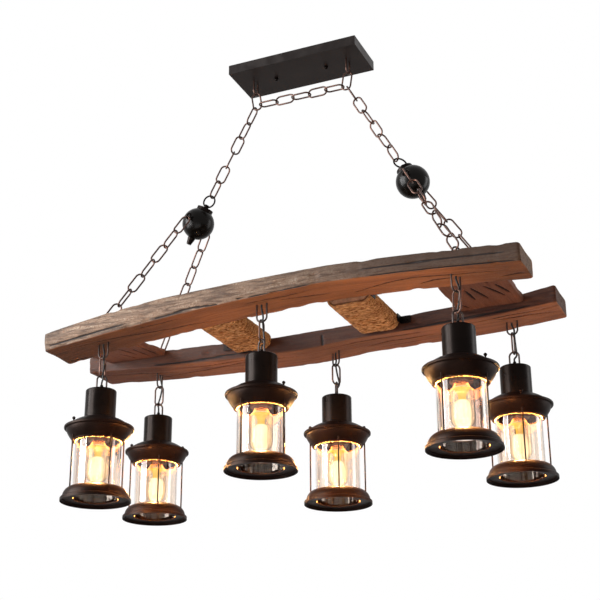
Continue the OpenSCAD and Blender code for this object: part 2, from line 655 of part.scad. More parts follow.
// Cup with its loop, lead gland and lampholder
module cup(i) {
    top = pan_rise + cup_h;
    at_lantern(i) {
        color([0.07, 0.06, 0.05]) difference() {
            union() {
                translate([0, 0, pan_rise]) cylinder(d = cup_d, h = cup_h - cup_edge);
                translate([0, 0, top - cup_edge]) cylinder(d = cup_d - 2 * cup_edge, h = cup_edge);
                translate([0, 0, top - cup_edge]) rotate_extrude() difference() {
                    translate([cup_d / 2 - cup_edge, 0]) circle(r = cup_edge);
                    translate([-cup_d, -cup_d]) square([cup_d + cup_d / 2 - cup_edge, 2 * cup_d]);
                    translate([0, -cup_edge]) square([cup_d, cup_edge]);
                }
            }
            translate([0, 0, pan_rise - over]) cylinder(d = cup_d - 2 * sheet, h = cup_h - cup_edge + over);
        }
        color([0.15, 0.12, 0.1]) translate([0, 0, top]) rotate([0, 0, loop_turn(i)])
            mirror([0, 0, 1]) wire_u(loop_w, loop_h, 0);
        color([0.07, 0.06, 0.05]) translate([0, 0, top])
            cylinder(d1 = gland_d, d2 = gland_d / 2 + seat, h = gland_h);
        color([0.2, 0.18, 0.16]) translate([0, 0, -holder_drop]) difference() {
            cylinder(d = holder_d, h = holder_h);
            translate([0, 0, -over]) cylinder(d = thread_d + 2 * thread_play, h = thread_h + 3 * over);
        }
        color([0.2, 0.18, 0.16]) translate([0, 0, holder_h - holder_drop])
            cylinder(d = nipple_d, h = top - cup_edge - holder_h + holder_drop);
    }
}
holder_h = 62; // height of the lampholder
nipple_d = 10; // threaded tube that holds the lampholder in the cup

// Pan: domed lid from the cup to a rounded edge, and a bowl under it that narrows to its mouth
module pan(i) {
    color([0.07, 0.06, 0.05]) at_lantern(i) difference() {
        union() {
            rotate_extrude() polygon(concat([[pan_hole_r, pan_rise]], lid_line(0),
                [for (k = [curve_steps:-1:0]) lid_line(sheet)[k]], [[pan_hole_r, pan_rise - sheet]]));
            rotate_extrude() hull() for (s = [-1, 1])
                translate([rim_r, s * (pan_edge_h / 2 - bead_r)]) circle(r = bead_r);
            rotate_extrude()
                polygon(concat(bowl_line(0), [for (k = [curve_steps:-1:0]) bowl_line(sheet)[k]]));
            rotate_extrude() translate([pan_mouth_d / 2 - sheet / 2, -pan_bowl_h]) circle(r = sheet);
        }
        rotate([0, 0, rod_turn(i)]) for (k = [0:3]) rotate([0, 0, 90 * k])
            translate([rod_circle_d / 2, 0, -pan_bowl_h - 2 * over])
                cylinder(d = rod_d + 2 * hole_play, h = pan_bowl_h + pan_rise + 3 * over);
    }
}
pan_hole_r = holder_d / 2 + over; // the lampholder passes the pan here
rim_r = rim_d / 2 - bead_r; // middle of the beads on the pan and the base ring
curve_steps = 8; // straight steps in the pan's and the base ring's curves
curve_power = 1.6; // how fast the lid and the bowl curve away from the cup and the edge
function lid_height(r) = pan_rise * (1 - pow((r - cup_d / 2) / (rim_r - cup_d / 2), curve_power));
function lid_line(inset) = [for (k = [0:curve_steps])
    let (r = cup_d / 2 + (rim_r - cup_d / 2) * k / curve_steps) [r, lid_height(r) - inset]];
// Bowl line from inside the edge to the mouth, with its inner face inset
function bowl_line(inset) = let (r0 = rim_r - sheet, r1 = pan_mouth_d / 2)
    [for (k = [0:curve_steps]) let (t = k / curve_steps)
        [r0 - (r0 - r1) * pow(t, curve_power) - inset, -pan_bowl_h * t]];

module glass(i) {
    color([0.8, 0.9, 0.95, 0.4]) at_lantern(i) translate([0, 0, glass_low]) difference() {
        cylinder(d = glass_d, h = glass_top - glass_low, $fn = 96);
        translate([0, 0, -over])
            cylinder(d = glass_d - 2 * glass_t, h = glass_top - glass_low + 2 * over, $fn = 96);
    }
}
glass_rise = 12; // height of the glass in the pan's bowl
glass_low = -lantern_h + lip_h + seat; // the glass stands on the base ring's inner ledge
glass_top = -pan_bowl_h + glass_rise;

// Cage: base ring and four rods, two of them with ball nuts over the pan
module cage(i) {
    color([0.07, 0.06, 0.05]) at_lantern(i) {
        rotate_extrude($fn = 96) translate([0, -lantern_h]) base_outline();
        for (k = [0:3]) rotate([0, 0, rod_turn(i) + 90 * k]) translate([rod_circle_d / 2, 0, 0]) {
            top = rod_height + (k % 2 == 0 ? nut_stand : over);
            translate([0, 0, rod_low]) cylinder(d = rod_d, h = top - rod_low);
            if (k % 2 == 0) translate([0, 0, top + nut_d / 2 - nut_bite]) sphere(d = nut_d);
        }
    }
}
// Dome of the base ring, from its lip up and in to the glass
dome_r = glass_d / 2 + seat; // the dome ends round the glass
dome_w = rim_r - bead_r - dome_r;
dome_h = base_h - lip_h;
function dome_point(k, inset) = let (a = 90 * k / curve_steps)
    [dome_r + (dome_w - inset) * cos(a), lip_h + (dome_h - inset) * sin(a)];
function dome_height(r) = lip_h + dome_h * sqrt(1 - pow((r - dome_r) / dome_w, 2));
rod_low = -lantern_h + dome_height(rod_circle_d / 2) - sheet;
rod_height = lid_height(rod_circle_d / 2); // the rods come through the lid here
nut_bite = 0.5; // depth of a rod's end in its nut

module base_outline() {
    // dome, down to the underside of the ledge
    polygon(concat([[dome_point(0, 0)[0], lip_h - sheet]], [for (k = [0:curve_steps]) dome_point(k, 0)],
        [for (k = [curve_steps:-1:0]) dome_point(k, sheet)], [[dome_point(0, sheet)[0], lip_h - sheet]]));
    // lip and bead
    translate([rim_d / 2 - sheet, 0]) square([sheet, lip_h - bead_r]);
    translate([rim_r, lip_h - bead_r]) circle(r = bead_r, $fn = 24);
    // ledge for the glass
    translate([ledge_r, lip_h - sheet]) square([rim_r - ledge_r, sheet]);
}
ledge_r = (glass_d - glass_t) / 2; // the ledge holds the outer half of the glass

// Tubular bulb on its threaded cap
module bulb(i) {
    at_lantern(i) {
        color([1, 0.75, 0.35]) translate([0, 0, -holder_drop - seat]) mirror([0, 0, 1]) rotate_extrude()
            polygon(concat([[0, 0], [neck_r, 0]],
                [for (k = [1:6])
                    [neck_r + (bulb_d / 2 - neck_r) * sin(15 * k), shoulder_h * (1 - cos(15 * k))]],
                [for (k = [0:6]) [bulb_d / 2 * cos(15 * k), bulb_len - tip_h * (1 - sin(15 * k))]]));
        color("gold") translate([0, 0, -holder_drop - seat]) cylinder(d = thread_d, h = thread_h);
    }
}
neck_r = thread_d / 2 - 1; // radius of the bulb's glass at its cap
shoulder_h = 14; // height of the bulb's shoulder
tip_h = 0.4 * bulb_d; // height of its rounded tip

ceiling_bar();
canopy();
canopy_screws();
canopy_hooks();
spreader_chain();
upper_chain(-1);  // upper_chain_left
upper_chain(1);  // upper_chain_right
ball(-1);  // ball_left
ball(1);  // ball_right
ball_fittings();
lower_chains(-1);  // lower_chains_left
lower_chains(1);  // lower_chains_right
front_beam();
back_beam();
end_board_left();
end_board_right();
cross_bar(-left_bar_x);  // cross_bar_left
cross_bar(right_bar_x);  // cross_bar_right
twine(-left_bar_x);  // twine_left
twine(right_bar_x);  // twine_right
beam_eyes();
lamp_staples();
bar_brackets();
for (i = [1:6]) {
    hanger(i);
    cup(i);
    pan(i);
    glass(i);
    cage(i);
    bulb(i);
}
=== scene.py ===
"""Looks of the driftwood lantern ceiling light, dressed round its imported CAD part.

Origin: centre of the canopy's top face, on the ceiling. +X along the beams, +Z up, in metres.
Lengths are written in millimetres and pass through mm().
"""

import json
import math

import bpy
import numpy as np
from mathutils import Matrix, Vector, noise


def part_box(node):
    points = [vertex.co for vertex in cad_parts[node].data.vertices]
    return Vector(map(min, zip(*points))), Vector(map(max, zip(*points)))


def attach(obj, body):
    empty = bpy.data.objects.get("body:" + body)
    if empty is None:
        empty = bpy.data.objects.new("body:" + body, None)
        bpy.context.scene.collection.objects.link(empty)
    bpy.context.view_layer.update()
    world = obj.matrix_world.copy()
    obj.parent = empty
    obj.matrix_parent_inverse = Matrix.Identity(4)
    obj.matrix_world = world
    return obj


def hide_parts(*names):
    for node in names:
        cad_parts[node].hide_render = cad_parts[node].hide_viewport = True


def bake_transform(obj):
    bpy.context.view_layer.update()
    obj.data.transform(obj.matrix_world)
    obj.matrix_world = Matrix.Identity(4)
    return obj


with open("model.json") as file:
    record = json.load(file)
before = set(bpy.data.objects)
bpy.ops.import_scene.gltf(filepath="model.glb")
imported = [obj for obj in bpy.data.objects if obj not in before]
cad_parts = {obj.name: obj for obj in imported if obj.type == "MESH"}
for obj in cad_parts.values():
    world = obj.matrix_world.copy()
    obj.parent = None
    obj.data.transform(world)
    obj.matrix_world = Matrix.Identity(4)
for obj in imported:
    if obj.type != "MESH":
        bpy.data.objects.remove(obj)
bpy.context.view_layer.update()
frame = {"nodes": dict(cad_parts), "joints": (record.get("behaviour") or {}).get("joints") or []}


def mm(length):
    return length / 1000


# Camera, matched to the photograph's view
CAMERA_AT = (mm(967), mm(-2230.2), mm(-1521.2))
CAMERA_TURN = (90 + 21.5, -0.308, 23.562)  # pitch, roll and heading, in degrees
FOCAL_PX = 1269.66
PHOTO_PX = 600
SENSOR = 36

# Sizes that the CAD part gives
LANTERN_COUNT = 6
BAR_NAMES = ("left", "right")
STAPLE_TURNS = (0, 90, 0, -30, 60, 0)  # turn of each lantern's staple, in degrees
LOOP_TURNS = (30, -30, -30, -28, -21, 0)  # turn of each cup's loop from its staple
WIRE_R = mm(1.8)
LINK_R = mm(10)  # centre line radius of a link's bends
LINK_PLAY = mm(0.3)
HANGER_PITCH = mm(40.4)
LOOP_H = mm(30.7)
GLAND_H = mm(12)
LEAD_R = mm(1.9)
LEAD_END = mm(1.2)  # from the lead's ends to the wood and the gland
LEAD_GAP = mm(0.6)  # from the lead to the wires that it passes
ON_AXIS = mm(0.01)  # a radius under this is a single point


# Meshes


def add_mesh(name, points, faces, material, smooth=True):
    mesh = bpy.data.meshes.new(name)
    mesh.from_pydata([tuple(p) for p in points], [], faces)
    mesh.materials.append(material)
    if smooth:
        mesh.shade_smooth()
    piece = bpy.data.objects.new(name, mesh)
    bpy.context.scene.collection.objects.link(piece)
    return piece


def dress(piece, body, stands_for=()):
    """Puts a piece on its CAD body, in the place of CAD nodes."""
    if body:
        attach(piece, body)
    if stands_for:
        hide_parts(*stands_for)


def ring_faces(rings, sides, closed=False):
    """Quads between rings of points, each of the same number of sides."""
    count = rings if closed else rings - 1
    return [
        (a * sides + s, a * sides + (s + 1) % sides, b * sides + (s + 1) % sides, b * sides + s)
        for a, b in ((k, (k + 1) % rings) for k in range(count))
        for s in range(sides)
    ]


def tube(route, radius, sides, closed=False):
    """Points and faces of a round tube along a route; its ends are capped unless it is closed."""
    route = np.asarray(route, float)
    ahead = np.roll(route, -1, 0)
    behind = np.roll(route, 1, 0)
    if not closed:
        ahead[-1], behind[0] = route[-1], route[0]
    along = ahead - behind
    along /= np.linalg.norm(along, axis=1)[:, None]
    side = np.cross(along[0], (0.3, 0.5, 0.8))
    points = []
    for centre, direction in zip(route, along):
        side = side - direction * (side @ direction)
        side /= np.linalg.norm(side)
        up = np.cross(direction, side)
        for k in range(sides):
            turn = math.tau * k / sides
            points.append(centre + radius * (math.cos(turn) * side + math.sin(turn) * up))
    faces = ring_faces(len(route), sides, closed)
    if not closed:
        last = (len(route) - 1) * sides
        faces += [tuple(range(sides))[::-1], tuple(range(last, last + sides))]
    return points, faces


def join(parts):
    """One list of points and faces from several."""
    points, faces = [], []
    for more_points, more_faces in parts:
        start = len(points)
        points += list(more_points)
        faces += [tuple(start + k for k in face) for face in more_faces]
    return points, faces


def turned(outline, steps, centre):
    """Points and faces of an outline of (radius, height) turned about an upright line."""
    points, rings = [], []
    for radius, height in outline:
        single = radius < ON_AXIS
        rings.append([len(points)] * steps if single else range(len(points), len(points) + steps))
        for k in range(1 if single else steps):
            turn = math.tau * k / steps
            points.append(
                (
                    centre[0] + radius * math.cos(turn),
                    centre[1] + radius * math.sin(turn),
                    centre[2] + height,
                )
            )
    faces = []
    for low, high in zip(rings, rings[1:]):
        for k in range(steps):
            after = (k + 1) % steps
            corners = list(dict.fromkeys((low[k], low[after], high[after], high[k])))
            if len(corners) > 2:
                faces.append(tuple(corners))
    return points, faces


# Shader building


def wire(tree, source, target):
    tree.links.new(source, target)


def feed(tree, socket, value):
    """Gives a socket a plain value, or wires another node's output to it."""
    if isinstance(value, bpy.types.NodeSocket):
        wire(tree, value, socket)
    else:
        socket.default_value = value


def add_node(tree, kind, inputs=None, **settings):
    """Adds a node. Each input takes a value or another node's output."""
    made = tree.nodes.new(kind)
    for name, value in settings.items():
        setattr(made, name, value)
    for name, value in (inputs or {}).items():
        feed(tree, made.inputs[name], value)
    return made


def math_node(tree, operation, a, b=0.0, clamp=False):
    return add_node(
        tree, "ShaderNodeMath", {0: a, 1: b}, operation=operation, use_clamp=clamp
    ).outputs[0]


def mix_colour(tree, factor, a, b):
    """Runs from colour a to colour b as the factor runs from 0 to 1."""
    return add_node(
        tree, "ShaderNodeMix", {"Factor": factor, 6: a, 7: b}, data_type="RGBA"
    ).outputs[2]


def spread(tree, value, low, high, to_low=0.0, to_high=1.0):
    return add_node(
        tree,
        "ShaderNodeMapRange",
        {"Value": value, "From Min": low, "From Max": high, "To Min": to_low, "To Max": to_high},
        interpolation_type="SMOOTHSTEP",
    ).outputs[0]


def noise_at(tree, coordinates, stretch, detail=3.0, distortion=0.0, roughness=0.5):
    """Noise whose grain has stretch repeats a metre along each axis."""
    mapping = add_node(tree, "ShaderNodeMapping", {"Vector": coordinates, "Scale": stretch})
    return add_node(
        tree,
        "ShaderNodeTexNoise",
        {
            "Vector": mapping.outputs[0],
            "Scale": 1.0,
            "Detail": detail,
            "Distortion": distortion,
            "Roughness": roughness,
        },
    ).outputs[0]


def new_group(name, inputs, outputs):
    group = bpy.data.node_groups.new(name, "ShaderNodeTree")
    for direction, sockets in (("INPUT", inputs), ("OUTPUT", outputs)):
        for label, kind, *value in sockets:
            socket = group.interface.new_socket(
                name=label, in_out=direction, socket_type="NodeSocket" + kind
            )
            if value:
                socket.default_value = value[0]
    start = group.nodes.new("NodeGroupInput").outputs
    end = group.nodes.new("NodeGroupOutput").inputs
    return group, start, end


def rgb(red, green, blue):
    """A colour as the eye names it, 0 to 255, for a shader."""

    def to_linear(value):
        share = value / 255
        return share / 12.92 if share <= 0.04045 else ((share + 0.055) / 1.055) ** 2.4

    return (to_linear(red), to_linear(green), to_linear(blue), 1.0)


# Figure of the wood: repeats a metre along the grain and across it
FIBRES = (8, 300, 300)
BANDS = (2.0, 30, 30)
STREAKS = (16, 150, 150)
PATCHES = (6, 17, 17)
SPECKS = (260, 420, 420)
PALE_FLECK = rgb(205, 188, 164)
# Painted shade in cracks and along their edges
CRACK_SHADE = rgb(24, 12, 8)


def make_wood_group():
    """Old timber with its grain along the coordinates' X: fresh wood, its dark grain, the grey,
    streaked skin of weathered faces, and a dark tone that is partly the staining of aged faces and
    partly painted shade."""
    group, start, end = new_group(
        "Old timber",
        [
            ("Coordinates", "Vector"),
            ("Fresh", "Color"),
            ("Dark grain", "Color"),
            ("Weathered", "Color"),
            ("Stained", "Color"),
            ("Weathering", "Float", 0.0),
            ("Stain", "Float", 0.0),
            ("Crack", "Float", 0.0),
        ],
        [("Colour", "Color"), ("Roughness", "Float"), ("Height", "Float")],
    )
    at = start["Coordinates"]
    fibres = noise_at(group, at, FIBRES, 4.0, distortion=0.3)
    bands = noise_at(group, at, BANDS, 4.0, distortion=1.4, roughness=0.6)
    streaks = noise_at(group, at, STREAKS, 4.0, distortion=0.8, roughness=0.65)
    patches = noise_at(group, at, PATCHES, distortion=0.6)
    specks = noise_at(group, at, SPECKS, roughness=0.7)

    # Fresh wood with its grain
    dark_bands = spread(group, bands, 0.42, 0.68, to_high=0.5)
    dark_fibres = spread(group, fibres, 0.45, 0.7, to_high=0.3)
    dark = math_node(group, "ADD", dark_bands, dark_fibres, clamp=True)
    dark_patches = spread(group, patches, 0.4, 0.72, to_high=0.4)
    fresh = mix_colour(group, dark, start["Fresh"], start["Dark grain"])
    fresh = mix_colour(group, dark_patches, fresh, start["Dark grain"])

    # Grey skin, streaked and flecked
    grey_streaks = spread(group, streaks, 0.42, 0.62, to_high=0.75)
    grey_specks = spread(group, specks, 0.5, 0.72, to_high=0.6)
    pale_streaks = spread(group, streaks, 0.46, 0.34)
    pale_specks = spread(group, specks, 0.55, 0.35, to_high=0.75)
    grey = mix_colour(group, grey_streaks, start["Weathered"], start["Stained"])
    grey = mix_colour(group, grey_specks, grey, start["Dark grain"])
    flecks = math_node(group, "MULTIPLY", pale_streaks, pale_specks)
    grey = mix_colour(group, flecks, grey, PALE_FLECK)

    # The skin reaches in patches, and only where there is weathering
    reach = math_node(group, "SUBTRACT", patches, 0.5)
    reach = math_node(group, "MULTIPLY", reach, 0.9)
    reach = math_node(group, "ADD", start["Weathering"], reach)
    reach = spread(group, reach, 0.2, 0.75)
    weathered = spread(group, start["Weathering"], 0, 0.2)
    skin = math_node(group, "MULTIPLY", reach, weathered)
    colour = mix_colour(group, skin, fresh, grey)

    # Painted shade and staining: faces darken towards the dark colour as far as the layer says,
    # varied a little by the streaks
    shade_and_stain_streaks = spread(group, streaks, 0.7, 0.3, 0.8, 1.0)
    stain = math_node(group, "MULTIPLY", start["Stain"], shade_and_stain_streaks)
    colour = mix_colour(group, stain, colour, start["Stained"])
    # Painted shade: cracks, and the dark edges round them, darken towards the crack colour
    in_crack = spread(group, start["Crack"], 0.05, 0.4, to_high=0.95)
    wire(group, mix_colour(group, in_crack, colour, CRACK_SHADE), end["Colour"])
    wire(group, spread(group, specks, 0.3, 0.7, 0.62, 0.85), end["Roughness"])

    height = math_node(group, "MULTIPLY", streaks, 0.8)
    height = math_node(group, "ADD", height, math_node(group, "MULTIPLY", fibres, 0.4))
    height = math_node(group, "ADD", height, math_node(group, "MULTIPLY", specks, 0.25))
    wire(group, math_node(group, "SUBTRACT", height, start["Crack"]), end["Height"])
    return group


# Figure of the metal: repeats a metre
CLOUDS = (38, 38, 38)
FINE = (520, 520, 520)


def make_metal_group():
    """Painted or browned metal: cloudy sheen, small rubbed spots and a fine skin."""
    group, start, end = new_group(
        "Worn metal skin",
        [
            ("Coordinates", "Vector"),
            ("Metal", "Color"),
            ("Rubbed", "Color"),
            ("Rubbing", "Float", 0.3),
            ("Smooth", "Float", 0.3),
            ("Dull", "Float", 0.5),
        ],
        [("Colour", "Color"), ("Roughness", "Float"), ("Height", "Float")],
    )
    at = start["Coordinates"]
    clouds = noise_at(group, at, CLOUDS, 4.0, distortion=0.4)
    fine = noise_at(group, at, FINE)
    cloud_spots = spread(group, clouds, 0.48, 0.68)
    fine_spots = spread(group, fine, 0.35, 0.65)
    spots = math_node(group, "MULTIPLY", cloud_spots, fine_spots)
    rubbed = math_node(group, "MULTIPLY", spots, start["Rubbing"])
    wire(group, mix_colour(group, rubbed, start["Metal"], start["Rubbed"]), end["Colour"])
    sheen = math_node(group, "SUBTRACT", start["Dull"], start["Smooth"])
    sheen = math_node(group, "MULTIPLY", sheen, spread(group, clouds, 0.3, 0.7))
    wire(group, math_node(group, "ADD", sheen, start["Smooth"]), end["Roughness"])
    wire(group, fine, end["Height"])
    return group


WOOD_GROUP = make_wood_group()
METAL_GROUP = make_metal_group()


def new_material(name):
    material = bpy.data.materials.new(name)
    material.use_nodes = True
    tree = material.node_tree
    return material, tree, tree.nodes["Principled BSDF"]


def use_group(tree, group, values):
    made = add_node(tree, "ShaderNodeGroup", node_tree=group)
    for name, value in values.items():
        feed(tree, made.inputs[name], value)
    return made.outputs


def relief(tree, shader, height, distance):
    bump = add_node(
        tree, "ShaderNodeBump", {"Strength": 1.0, "Distance": distance, "Height": height}
    )
    wire(tree, bump.outputs[0], shader.inputs["Normal"])


def show_through(tree, share, shader, behind):
    """The material's surface runs from its shader to another as the share runs from 0 to 1."""
    mixed = add_node(
        tree, "ShaderNodeMixShader", {0: share, 1: shader.outputs[0], 2: behind.outputs[0]}
    )
    wire(tree, mixed.outputs[0], tree.nodes["Material Output"].inputs["Surface"])


def object_coordinates(tree):
    return add_node(tree, "ShaderNodeTexCoord").outputs["Object"]


def metal(
    name, colour, rubbed, rubbing, smooth, dull, metallic=0.0, specular=0.5, sheen=(1, 1, 1, 1)
):
    """Metal with a worn skin; sheen tints what it mirrors."""
    material, tree, shader = new_material(name)
    made = use_group(
        tree,
        METAL_GROUP,
        {
            "Coordinates": object_coordinates(tree),
            "Metal": colour,
            "Rubbed": rubbed,
            "Rubbing": rubbing,
            "Smooth": smooth,
            "Dull": dull,
        },
    )
    wire(tree, made["Colour"], shader.inputs["Base Color"])
    wire(tree, made["Roughness"], shader.inputs["Roughness"])
    shader.inputs["Metallic"].default_value = metallic
    shader.inputs["Specular IOR Level"].default_value = specular
    shader.inputs["Specular Tint"].default_value = sheen
    relief(tree, shader, made["Height"], mm(0.05))
    return material


def timber(name, fresh, dark, weathered, shade_and_stain_colour, across=False, bare=0.0):
    """Wood with its grain along X, or along Y where it lies across. Beams and boards carry
    their own weathering, their staining and painted shade, and cracks on their points; bare wood
    takes one value for all."""
    material, tree, shader = new_material(name)
    at = object_coordinates(tree)
    if across:
        at = add_node(
            tree, "ShaderNodeMapping", {"Vector": at, "Rotation": (0, 0, math.pi / 2)}
        ).outputs[0]
    values = {
        "Coordinates": at,
        "Fresh": fresh,
        "Dark grain": dark,
        "Weathered": weathered,
        "Stained": shade_and_stain_colour,
    }
    if bare:
        values["Weathering"] = bare
    else:
        for label in ("Weathering", "Stain", "Crack"):
            values[label] = add_node(
                tree, "ShaderNodeAttribute", attribute_name=label.lower()
            ).outputs["Fac"]
    made = use_group(tree, WOOD_GROUP, values)
    wire(tree, made["Colour"], shader.inputs["Base Color"])
    wire(tree, made["Roughness"], shader.inputs["Roughness"])
    shader.inputs["Specular IOR Level"].default_value = 0.12
    relief(tree, shader, made["Height"], mm(0.8))
    return material


def twine_fibre():
    material, tree, shader = new_material("Twine")
    at = object_coordinates(tree)
    strands = noise_at(tree, at, (110, 420, 420), 4.0, distortion=0.6)
    patches = noise_at(tree, at, (30, 30, 30))
    pale = spread(tree, strands, 0.35, 0.62)
    colour = mix_colour(tree, pale, rgb(104, 58, 27), rgb(194, 136, 86))
    aged = spread(tree, patches, 0.42, 0.7, to_high=0.5)
    colour = mix_colour(tree, aged, colour, rgb(128, 76, 40))
    wire(tree, colour, shader.inputs["Base Color"])
    shader.inputs["Roughness"].default_value = 0.9
    shader.inputs["Specular IOR Level"].default_value = 0.1
    relief(tree, shader, strands, mm(0.6))
    return material


def clear_glass(name, tint, streak, ior):
    """Glass with faint upright streaks. It lets lamps through, so that their light reaches what is
    behind it."""
    material, tree, shader = new_material(name)
    wander = noise_at(tree, object_coordinates(tree), (70, 70, 3), distortion=0.5)
    streaks = spread(tree, wander, 0.5, 0.66)
    wire(tree, mix_colour(tree, streaks, tint, streak), shader.inputs["Base Color"])
    shader.inputs["Roughness"].default_value = 0.02
    shader.inputs["IOR"].default_value = ior
    shader.inputs["Transmission Weight"].default_value = 1.0
    path = add_node(tree, "ShaderNodeLightPath").outputs
    passes = math_node(tree, "MAXIMUM", path["Is Shadow Ray"], path["Is Diffuse Ray"])
    window = add_node(tree, "ShaderNodeBsdfTransparent", {"Color": (0.95, 0.95, 0.95, 1)})
    show_through(tree, passes, shader, window)
    return material


def glowing(name, colour, strength, cover=1.0):
    """Light from a lit filament. A cover under 1 lets what is behind it through."""
    material, tree, shader = new_material(name)
    flicker = noise_at(tree, object_coordinates(tree), (150, 150, 90), 2.0)
    warmth = spread(tree, flicker, 0.35, 0.65, to_high=0.25)
    warm = mix_colour(tree, warmth, colour, (1, 0.6, 0.25, 1))
    wire(tree, warm, shader.inputs["Emission Color"])
    shader.inputs["Base Color"].default_value = (0, 0, 0, 1)
    shader.inputs["Specular IOR Level"].default_value = 0.0
    shader.inputs["Emission Strength"].default_value = strength
    shader.inputs["Alpha"].default_value = cover
    return material


black_metal = metal(
    "Black metal",
    rgb(8, 5, 4),
    rubbed=rgb(24, 16, 13),
    rubbing=0.3,
    smooth=0.26,
    dull=0.36,
    specular=0.05,
    sheen=(1, 0.78, 0.7, 1),
)
hood_metal = metal(
    "Hood metal",
    rgb(11, 5, 4),
    rubbed=rgb(24, 12, 8),
    rubbing=0.4,
    smooth=0.36,
    dull=0.5,
    specular=0.055,
    sheen=(1, 0.6, 0.45, 1),
)
canopy_metal = metal(
    "Canopy metal",
    rgb(27, 20, 18),
    rubbed=rgb(52, 41, 36),
    rubbing=0.3,
    smooth=0.3,
    dull=0.42,
    specular=0.12,
)
ball_metal = metal(
    "Ball lacquer",
    rgb(10, 7, 5),
    rubbed=rgb(30, 22, 18),
    rubbing=0.25,
    smooth=0.2,
    dull=0.32,
    specular=0.09,
)
# Its rubbed spots are wear, made as light as the links' highlights: partly painted highlights
chain_metal = metal(
    "Chain bronze",
    rgb(56, 36, 29),
    rubbed=rgb(122, 86, 70),
    rubbing=0.6,
    smooth=0.3,
    dull=0.5,
    metallic=0.6,
    specular=0.3,
)
staple_metal = metal(
    "Staple iron",
    rgb(42, 30, 26),
    rubbed=rgb(98, 74, 62),
    rubbing=0.5,
    smooth=0.34,
    dull=0.5,
    metallic=0.4,
    specular=0.3,
)
steel_metal = metal(
    "Zinc steel",
    rgb(168, 168, 164),
    rubbed=rgb(205, 205, 200),
    rubbing=0.5,
    smooth=0.35,
    dull=0.5,
    metallic=0.9,
)
holder_metal = metal(
    "Lampholder brass",
    rgb(74, 42, 26),
    rubbed=rgb(120, 74, 44),
    rubbing=0.4,
    smooth=0.35,
    dull=0.5,
    metallic=0.7,
)
lead_rubber = metal(
    "Lead sleeve",
    rgb(20, 16, 15),
    rubbed=rgb(38, 31, 28),
    rubbing=0.3,
    smooth=0.45,
    dull=0.6,
    specular=0.2,
)
front_wood = timber(
    "Front driftwood",
    fresh=rgb(146, 86, 49),
    dark=rgb(88, 47, 26),
    weathered=rgb(157, 128, 105),
    shade_and_stain_colour=rgb(52, 33, 22),
)
back_wood = timber(
    "Back driftwood",
    fresh=rgb(136, 83, 55),
    dark=rgb(78, 42, 27),
    weathered=rgb(100, 78, 63),
    shade_and_stain_colour=rgb(46, 20, 11),
)
board_wood = timber(
    "Board wood",
    fresh=rgb(108, 64, 44),
    dark=rgb(64, 35, 24),
    weathered=rgb(88, 62, 48),
    shade_and_stain_colour=rgb(52, 29, 20),
    across=True,
)
core_wood = timber(
    "Core wood",
    fresh=rgb(150, 104, 74),
    dark=rgb(90, 56, 40),
    weathered=rgb(120, 96, 78),
    shade_and_stain_colour=rgb(84, 54, 43),
    across=True,
    bare=0.2,
)
twine_material = twine_fibre()
lantern_glass = clear_glass("Lantern glass", rgb(246, 236, 226), rgb(198, 180, 172), ior=1.45)
bulb_glass = clear_glass("Bulb glass", rgb(255, 250, 240), rgb(250, 236, 214), ior=1.3)
filament_glow = glowing("Lit filament", (1.0, 0.72, 0.34, 1), strength=16)
core_glow = glowing("Bulb glow", (1.0, 0.95, 0.72, 1), strength=2.6, cover=0.9)
halo_glow = glowing("Bulb halo", (1.0, 0.8, 0.5, 1), strength=1.3, cover=0.5)
stem_glow = glowing("Bulb stem glow", (1.0, 0.66, 0.1, 1), strength=1.1, cover=0.9)
shield_glow = glowing("Heat shield glow", (1.0, 0.5, 0.03, 1), strength=0.9)
ring_glow = glowing("Envelope edge glow", (1.0, 0.86, 0.68, 1), strength=1.2)


# CAD nodes that keep their shape


def finish_node(name, material):
    node = frame["nodes"][name]
    node.data.materials.clear()
    node.data.materials.append(material)
    return node


for name, material, slot in [
    ("ceiling_bar", steel_metal, "zinc_steel"),
    ("canopy", canopy_metal, "black_metal"),
    ("canopy_screws", black_metal, "black_metal"),
    ("canopy_hooks", chain_metal, "chain_bronze"),
    ("spreader_chain", chain_metal, "chain_bronze"),
    ("upper_chain_left", chain_metal, "chain_bronze"),
    ("upper_chain_right", chain_metal, "chain_bronze"),
    ("lower_chains_left", chain_metal, "chain_bronze"),
    ("lower_chains_right", chain_metal, "chain_bronze"),
    ("ball_left", ball_metal, "ball_black"),
    ("ball_right", ball_metal, "ball_black"),
    ("ball_fittings", black_metal, "black_metal"),
    ("beam_eyes", staple_metal, "chain_bronze"),
    ("lamp_staples", staple_metal, "chain_bronze"),
    ("bar_brackets", black_metal, "black_metal"),
    ("cross_bar_left", core_wood, "core_wood"),
    ("cross_bar_right", core_wood, "core_wood"),
]:
    finish_node(name, material)

canopy_edges = frame["nodes"]["canopy"].modifiers.new("Rounded edges", "BEVEL")
canopy_edges.width = mm(1.0)
canopy_edges.segments = 3
canopy_edges.limit_method = "ANGLE"


# Beams and boards

ALONG_X, ALONG_Y = 0, 1
SIDE_STEPS = {"face": 9, "lower_face": 9, "under": 64, "back": 12, "top": 26}
SIDE_OF = np.array([name for name, count in SIDE_STEPS.items() for _ in range(count)])
